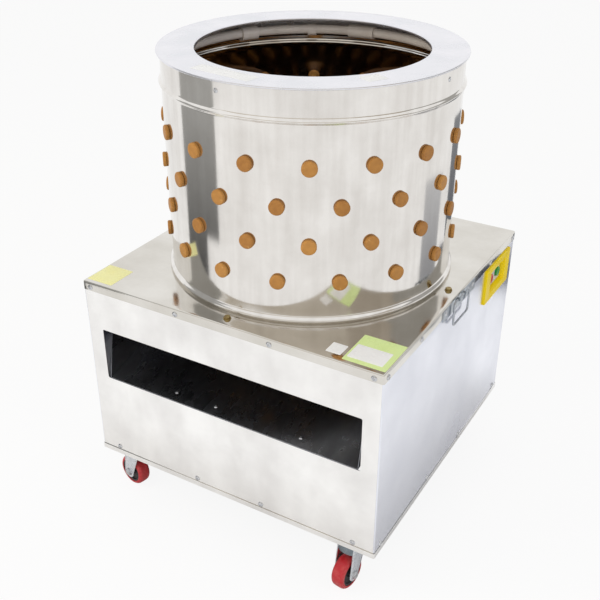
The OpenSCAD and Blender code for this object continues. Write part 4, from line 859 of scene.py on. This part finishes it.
full = np.linspace(0, 2 * np.pi, 144, endpoint=False)
make_piece("spray_tube", [shell(ring_pipe(np.full(len(full), tube_r), full), True, True)], pipe_pvc,
           "cabinet", ["spray_pipe"])
swell = np.array([10.0, 12.6, 13.3, 13.6, 13.6, 13.6, 13.6, 13.6, 13.3, 12.6, 10.0]) * mm
along = np.array([-1, -1, -0.98, -0.92, -0.5, 0, 0.5, 0.92, 0.98, 1, 1])
make_piece("spray_joint", [shell(ring_pipe(swell, sleeve_at + sleeve_half / spray_r * along), False, True)],
           pipe_pvc, "cabinet", ["spray_sleeve"])

# %% [markdown]
# ## Castor forks
# Each castor is a pressed fork, a nylon hub and a cast tread. The fork is one sheet that rises from
# the axle, bends over the crown and comes down the other side: the width of the sheet at each level
# follows the fork's outline, a half circle round the axle and two slanting edges above it.

# %% Fork sheet
wheel_r, trail, cheek_r, cheek_y, fork_t = 37.5, 28, 15, 20.5, 2.4
crown_z, crown_bend, crown_r, crown_back, crown_front = 119.5, 8, 36.5, 19, 32
bend_low = crown_z - crown_bend
turn = np.radians(np.linspace(0, 90, 7))
cheek_z = np.concatenate([wheel_r - cheek_r * np.cos(turn), np.linspace(45, bend_low, 8)])
below = np.sqrt(np.maximum(cheek_r ** 2 - (wheel_r - cheek_z) ** 2, 0))
share = np.clip((cheek_z - wheel_r) / (crown_z - wheel_r), 0, 1)
back_x = np.where(cheek_z < wheel_r, trail - below, (trail - cheek_r) * (1 - share) - crown_back * share)
front_x = np.where(cheek_z < wheel_r, trail + below, (trail + cheek_r) * (1 - share) + crown_front * share)
bend_a = np.radians(np.linspace(15, 90, 6))
bend_z = np.append(bend_low + crown_bend * np.sin(bend_a), [crown_z, crown_z])
bend_y = np.append(cheek_y - crown_bend + crown_bend * np.cos(bend_a), [8, 3])
fork_z = np.concatenate([cheek_z, bend_z])
fork_y = -np.concatenate([np.full(len(cheek_z), cheek_y), bend_y])
fork_back = np.concatenate([back_x, np.full(len(bend_z), -crown_back)])
fork_front = np.concatenate([front_x, np.sqrt(crown_r ** 2 - bend_y ** 2)])
w = np.linspace(0, 1, 7)[:, None]
half = np.stack([fork_back * (1 - w) + fork_front * w, fork_y + 0 * w, fork_z + 0 * w], -1)
fork_sheet = np.concatenate([half, half[:, ::-1] * [1, -1, 1]], 1) * mm
print("fork grid", fork_sheet.shape)

# %% [markdown]
# ## Castor hoods and fittings
# A rounded hood joins the cheeks in front, over the wheel. It is a sheet's section, an upright with
# a quarter round above, carried round the pivot and closed at both ends. A dish over the ball race
# and hexagon nuts on the axle finish the fork.

# %% Hood, dish and nuts
hood_t, hood_bend, hood_low, hood_half = 2.4, 6, 92.5, 32.6
hood_c = np.array([31.9, 113.4])


def hood_face(radius):
    """One face of the hood as (distance from the pivot, height): an upright, then a quarter round."""
    foot = [[hood_c[0] + radius, hood_low]]
    return np.concatenate([foot, arc_points(hood_c, radius, np.radians(np.linspace(0, 90, 6)))])


hood_loop = np.concatenate([hood_face(hood_bend), hood_face(hood_bend - hood_t)[::-1]])
hood_mid = np.broadcast_to(hood_loop.mean(0), hood_loop.shape)
hood_a = np.linspace(-hood_half, hood_half, 13)
hood_a = np.radians(np.concatenate([hood_a[:1], hood_a, hood_a[-1:]]))[:, None]
hood_r, hood_z = np.stack([hood_mid] + [hood_loop] * 13 + [hood_mid]).transpose(2, 0, 1)
hood = np.stack([hood_r * np.cos(hood_a), hood_r * np.sin(hood_a), hood_z], -1) * mm
dish = turned(np.array([[6.4, 110.6], [21, 110.6], [25.6, 112], [27, 115], [26.6, 118], [25, 119.4],
                        [6.4, 119.4]]) * mm, 48)
nut, nut_ring = hexagon(7.6, 4.0, 10, 1.0)
nut_at = np.array([[trail, -cheek_y, wheel_r], [trail, cheek_y, wheel_r]]) * mm
nut_axes = facing([[0, -1.0, 0], [0, 1.0, 0]])
print("hood grid", hood.shape)

# %% [markdown]
# ## Castor wheels
# The hub is a black moulding with a sunk web between its boss and its rim, and the red tread is cast
# round it with soft shoulders. Both are turned round their axle.

# %% Hub and tread
hub_side = np.array([[4.3, -17.4], [9.4, -17.4], [10, -16.8], [10.6, -9.4], [11.4, -8.8], [23, -8.8],
                     [24.2, -9.6], [24.6, -13], [25.4, -14], [28.4, -14]])
hub = turned(np.concatenate([hub_side, hub_side[::-1] * [1, -1]]) * mm, 48)
tread_half, shoulder = 14.6, 4.6
across = np.linspace(-tread_half, tread_half, 25)
tread_r = wheel_r - shoulder * (np.abs(across) / tread_half) ** 5
tread_bore = [[32, 15], [28.55, 15], [28.55, -15], [32, -15]]
tread = turned(np.concatenate([np.stack([tread_r, across], -1), tread_bore]) * mm, 64)
print("tread grid", tread.shape)

# %% [markdown]
# ## Castors in their places
# Four castors stand under the corners, each at its own heading, as swivels come to rest. Their grids
# are worked out once in a castor's own axes, with the pivot at zero and the wheel trailing along X,
# then turned and moved to each place. The fork rides on the swivel, hub and tread on the wheel.

# %% Castors
places = {"front_left": (-283, -300, 168), "front_right": (283, -300, -98),
          "back_left": (-283, 300, 82), "back_right": (283, 300, 170)}  # x, y in mm, degrees


def under(pivot, spin, points, wrap_u=True, wrap_v=True):
    """Grids given in the castor's own axes, turned to its heading and set under its pivot."""
    flat = points.reshape((-1,) + points.shape[-3:])
    return shell(np.concatenate([stand(p, pivot, spin) for p in flat]), wrap_u, wrap_v)


wheel_at, axle = np.array([[trail, 0, wheel_r]]) * mm, facing([[0, 1.0, 0]])
nuts, nut_rings = stand(nut, nut_at, nut_axes), stand(nut_ring, nut_at, nut_axes)
wheel_hub, wheel_tread = stand(hub, wheel_at, axle), stand(tread, wheel_at, axle)
for name, (x, y, heading) in places.items():
    a = np.radians(heading)
    spin = np.array([[[np.cos(a), np.sin(a), 0], [-np.sin(a), np.cos(a), 0], [0, 0, 1.0]]])
    pivot = np.array([[x, y, 0]]) * mm
    swivel, wheel = f"castor_{name}_swivel", f"castor_{name}_wheel"
    make_piece(f"fork_{name}", [under(pivot, spin, fork_sheet, False, False)], zinc_clear, swivel,
               [f"castor_fork_{name}"], 30, fork_t * mm)
    make_piece(f"fork_hood_{name}", [under(pivot, spin, hood, False)], zinc_smoked, swivel)
    make_piece(f"fork_fittings_{name}", [under(pivot, spin, dish), under(pivot, spin, nuts, True, False),
                                         under(pivot, spin, nut_rings)],
               screw_bright, swivel)
    make_piece(f"hub_{name}", [under(pivot, spin, wheel_hub)], black_nylon, wheel,
               [f"castor_core_{name}"])
    make_piece(f"tread_{name}", [under(pivot, spin, wheel_tread)], red_tread, wheel,
               [f"castor_tyre_{name}"])

# %% [markdown]
# ## Blank stickers
# The machine carries stickers on its deck and ring. Here they are plain vinyl with no lettering: a
# lime one with a white field on the right corner, a small white one beside it, a pale yellow one on
# the left and two white ones on the ring. A sticker is a thin pad with rounded corners.

# %% Stickers
def sticker(half_x, half_y, radius, x, y, z, heading=0.0):
    """Nested rounded rectangles from the middle out, a hair above the surface, closed underneath:
    each has its share of the full size and its height in millimetres."""
    sizes = [(0.001, 0.22), (0.5, 0.22), (0.98, 0.22), (1.0, 0.12), (1.0, 0.02), (0.001, 0.02)]
    rings = [np.concatenate([p, np.full((len(p), 1), h)], 1)
             for s, h in sizes for p in [outline(half_x * s, half_y * s, radius * s, 6, 6)[0]]]
    c, s = np.cos(np.radians(heading)), np.sin(np.radians(heading))
    grid = np.stack(rings, 1) @ np.array([[c, s, 0], [-s, c, 0], [0, 0, 1]])
    return (grid + [x, y, 0]) * mm + [0, 0, z]


vinyl_lime = moulded("vinyl_lime_printed", "#E6FAAC", "#D9F098", (0.25, 0.4), 3.0, 30, 0.6, 0.02)
vinyl_white = moulded("vinyl_white_printed", "#FDFDFB", "#F1F1EE", (0.25, 0.4), 3.0, 30, 0.6, 0.02)
vinyl_yellow = moulded("vinyl_yellow_printed", "#FFFDB4", "#FBF49E", (0.25, 0.4), 3.0, 30, 0.6, 0.02)
for name, grid, material in (
        ("sticker_lime", sticker(44, 48, 2, 302, -291, deck_top), vinyl_lime),
        ("sticker_lime_field", sticker(36, 24, 1.5, 298, -303, deck_top + 0.2 * mm), vinyl_white),
        ("sticker_small", sticker(15.5, 17, 2, 235, -313, deck_top), vinyl_white),
        ("sticker_yellow", sticker(32, 36, 2, -314, -303, deck_top), vinyl_yellow),
        ("sticker_ring_long", sticker(69, 17, 1.5, -30.5, -261.5, ring_top, -8), vinyl_white),
        ("sticker_ring_short", sticker(17, 21, 1.5, 210.6, -156.6, ring_top, -28), vinyl_white)):
    make_piece(name, [shell(grid, True)], material, "cabinet")

# %% [markdown]
# ## White world
# A white world stands for a plain studio. Camera, mirror and see-through rays find the full white of
# the backdrop, while the light that falls on the machine stays at a lower level, so that pale sheet
# keeps its shading.

# %% World
room_level, seen_level = 0.55, 1.0
world = bpy.data.worlds.new("studio")
world.use_nodes = True
bpy.context.scene.world = world
tree = world.node_tree
seen = add(tree, "LightPath")
clear = add(tree, "Math", {0: seen.outputs["Is Camera Ray"], 1: seen.outputs["Is Glossy Ray"]},
            operation="MAXIMUM")
clear = add(tree, "Math", {0: clear.outputs[0], 1: seen.outputs["Is Transmission Ray"]},
            operation="MAXIMUM")
brightness = add(tree, "MapRange", {"Value": clear.outputs[0], "To Min": room_level, "To Max": seen_level})
tree.links.new(brightness.outputs[0], tree.nodes["Background"].inputs["Strength"])
tree.nodes["Background"].inputs["Color"].default_value = linear("#FFFFFF")
print("world lights at", room_level, "and shows at", seen_level)

# %% [markdown]
# ## Floor
# A wide pale floor carries the machine. The camera finds it nearly as white as the backdrop, with a
# faint shadow left. Mirrors find that white away from the cabinet, and the floor's own shaded paint
# near and under it: the blend follows the larger of the distances along X and Y, as the square
# cabinet does.

# %% Floor
floor_half, paint_until, white_from, white_share = 8, 0.36, 0.66, 0.9


def bare_material(name):
    """A new material with no shader yet, and its node tree."""
    material = bpy.data.materials.new(name)
    material.use_nodes = True
    tree = material.node_tree
    tree.nodes.remove(tree.nodes["Principled BSDF"])
    return material, tree


def studio_piece(name, points, faces, material):
    """A mesh that belongs to the studio and not to the machine."""
    mesh = bpy.data.meshes.new(name)
    mesh.from_pydata(points, [], faces)
    mesh.materials.append(material)
    piece = bpy.data.objects.new(name, mesh)
    bpy.context.collection.objects.link(piece)
    return piece


floor_paint, tree = bare_material("floor_pale_paint")
seen = add(tree, "LightPath")
spot = add(tree, "SeparateXYZ", {0: add(tree, "TexCoord").outputs["Object"]})
far_x, far_y = (add(tree, "Math", {0: spot.outputs[k]}, operation="ABSOLUTE") for k in (0, 1))
far = add(tree, "Math", {0: far_x.outputs[0], 1: far_y.outputs[0]}, operation="MAXIMUM")
open_floor = add(tree, "MapRange",
                 {"Value": far.outputs[0], "From Min": paint_until, "From Max": white_from},
                 interpolation_type="SMOOTHSTEP")
mirrored = add(tree, "Math", {0: seen.outputs["Is Glossy Ray"], 1: open_floor.outputs[0]},
               operation="MULTIPLY")
clear = add(tree, "Math", {0: seen.outputs["Is Camera Ray"], 1: mirrored.outputs[0]}, operation="MAXIMUM")
clear = add(tree, "Math", {0: clear.outputs[0], 1: seen.outputs["Is Transmission Ray"]},
            operation="MAXIMUM")
whiteness = add(tree, "Math", {0: clear.outputs[0], 1: white_share}, operation="MULTIPLY")
paint = add(tree, "BsdfDiffuse", {"Color": linear("#F3F2F0")})
glow = add(tree, "Emission", {"Color": linear("#FFFFFF"), "Strength": 1.0})
mix = add(tree, "MixShader", {0: whiteness.outputs[0], 1: paint.outputs[0], 2: glow.outputs[0]})
tree.links.new(mix.outputs[0], tree.nodes["Material Output"].inputs["Surface"])
corners = [(x * floor_half, y * floor_half, 0) for x, y in ((-1, -1), (1, -1), (1, 1), (-1, 1))]
studio_piece("floor", corners, [(0, 1, 2, 3)], floor_paint)
print("floor is", 2 * floor_half, "m wide")

# %% [markdown]
# ## Lamps
# Three soft lamps give the shapes their shading: a warm key from the front left, a small one at the
# front for the drum, and a cool fill from the right. Mirrors do not meet them, because their small
# bright squares would burn out in the steel.


# %% Lamps
def soft_lamp(name, place, target, size, watts, colour):
    """A square lamp that looks at a target: its -Z axis points along target minus place."""
    lamp = bpy.data.lights.new(name, "AREA")
    lamp.size, lamp.energy, lamp.color = size, watts, linear(colour)[:3]
    holder = bpy.data.objects.new(name, lamp)
    z = np.array(place, float) - target
    z /= np.linalg.norm(z)
    x = np.cross([0, 0, 1.0], z)
    x /= np.linalg.norm(x)
    holder.matrix_world = placed(x, np.cross(z, x), z, place)
    holder.visible_glossy = False
    bpy.context.collection.objects.link(holder)
    print(name, "lamp", watts, "W")


soft_lamp("key", (-2.2, -2.6, 3.2), (0, 0, 0.5), 2.2, 50, "#FFF9F0")
soft_lamp("front", (0.4, -3.0, 1.75), (0, 0, 0.95), 1.4, 16, "#FFFAF4")
soft_lamp("fill", (3.0, -0.6, 2.4), (0, 0, 0.5), 2.0, 22, "#EEF2FF")

# %% [markdown]
# ## Grey cards for the mirror
# A mirror drum in an all-white studio has no shape. Photographers stand grey cards round it, so that
# the curve bends them into upright bands. Each card is an arc round the drum's axis, and the low
# ones are mostly darker at the foot. They are part of the studio: only mirror rays meet them, so
# they throw no shadow and hide nothing.

# %% Reflection cards
def arc_card(name, bearings, reach, heights, foot, head):
    """A card bent round the Z axis: x = reach cos a, y = reach sin a, for a between two bearings in
    degrees and z between two heights, with its colour blended from foot to head by height."""
    a = np.radians(np.linspace(*bearings, 17))[:, None]
    z = np.array(heights)[None, :]
    points, quads = shell(np.stack([reach * np.cos(a) + 0 * z, reach * np.sin(a) + 0 * z, z + 0 * a], -1))
    paper, tree = bare_material(name + "_paper")
    level = add(tree, "SeparateXYZ", {0: add(tree, "TexCoord").outputs["Object"]}).outputs[2]
    level = add(tree, "MapRange", {"Value": level, "From Min": heights[0], "From Max": heights[1]}).outputs[0]
    shade = add(tree, "MixRGB", {"Fac": level, "Color1": linear(foot), "Color2": linear(head)})
    # Each card glows with its own grey and is lit by nothing: a painted reflection for the steel.
    grey = add(tree, "Emission", {"Color": shade.outputs[0], "Strength": 1.0})
    tree.links.new(grey.outputs[0], tree.nodes["Material Output"].inputs["Surface"])
    card = studio_piece(name, points.tolist(), quads.tolist(), paper)
    card.visible_camera = card.visible_diffuse = card.visible_shadow = card.visible_transmission = False
    print(name, "stands from", bearings[0], "to", bearings[1], "degrees")


arc_card("card_left", (199.5, 222), 1.05, (0.17, 0.75), "#4A4A4A", "#AEAEAC")
arc_card("card_left_near", (222, 233.5), 1.05, (0.32, 0.75), "#6C6C6B", "#AEAEAC")
arc_card("card_left_high", (199.5, 233.5), 1.05, (0.75, 1.5), "#AEAEAC", "#AAAAA8")
arc_card("card_right", (26, 47), 1.10, (0.0, 0.46), "#828489", "#CACBCE")
arc_card("card_right_high", (2, 62), 1.30, (0.95, 1.6), "#ACABA8", "#ACABA8")
arc_card("card_corner", (54, 64), 1.24, (0.0, 0.13), "#4A4E58", "#4A4E58")
arc_card("card_back", (63, 84), 1.24, (0.0, 0.56), "#50545C", "#8A8C90")
arc_card("card_front", (233, 330), 2.40, (1.1, 3.3), "#DAD4CA", "#DAD4CA")
arc_card("card_front_right", (330, 380), 2.40, (1.1, 3.3), "#BDB5AA", "#BDB5AA")
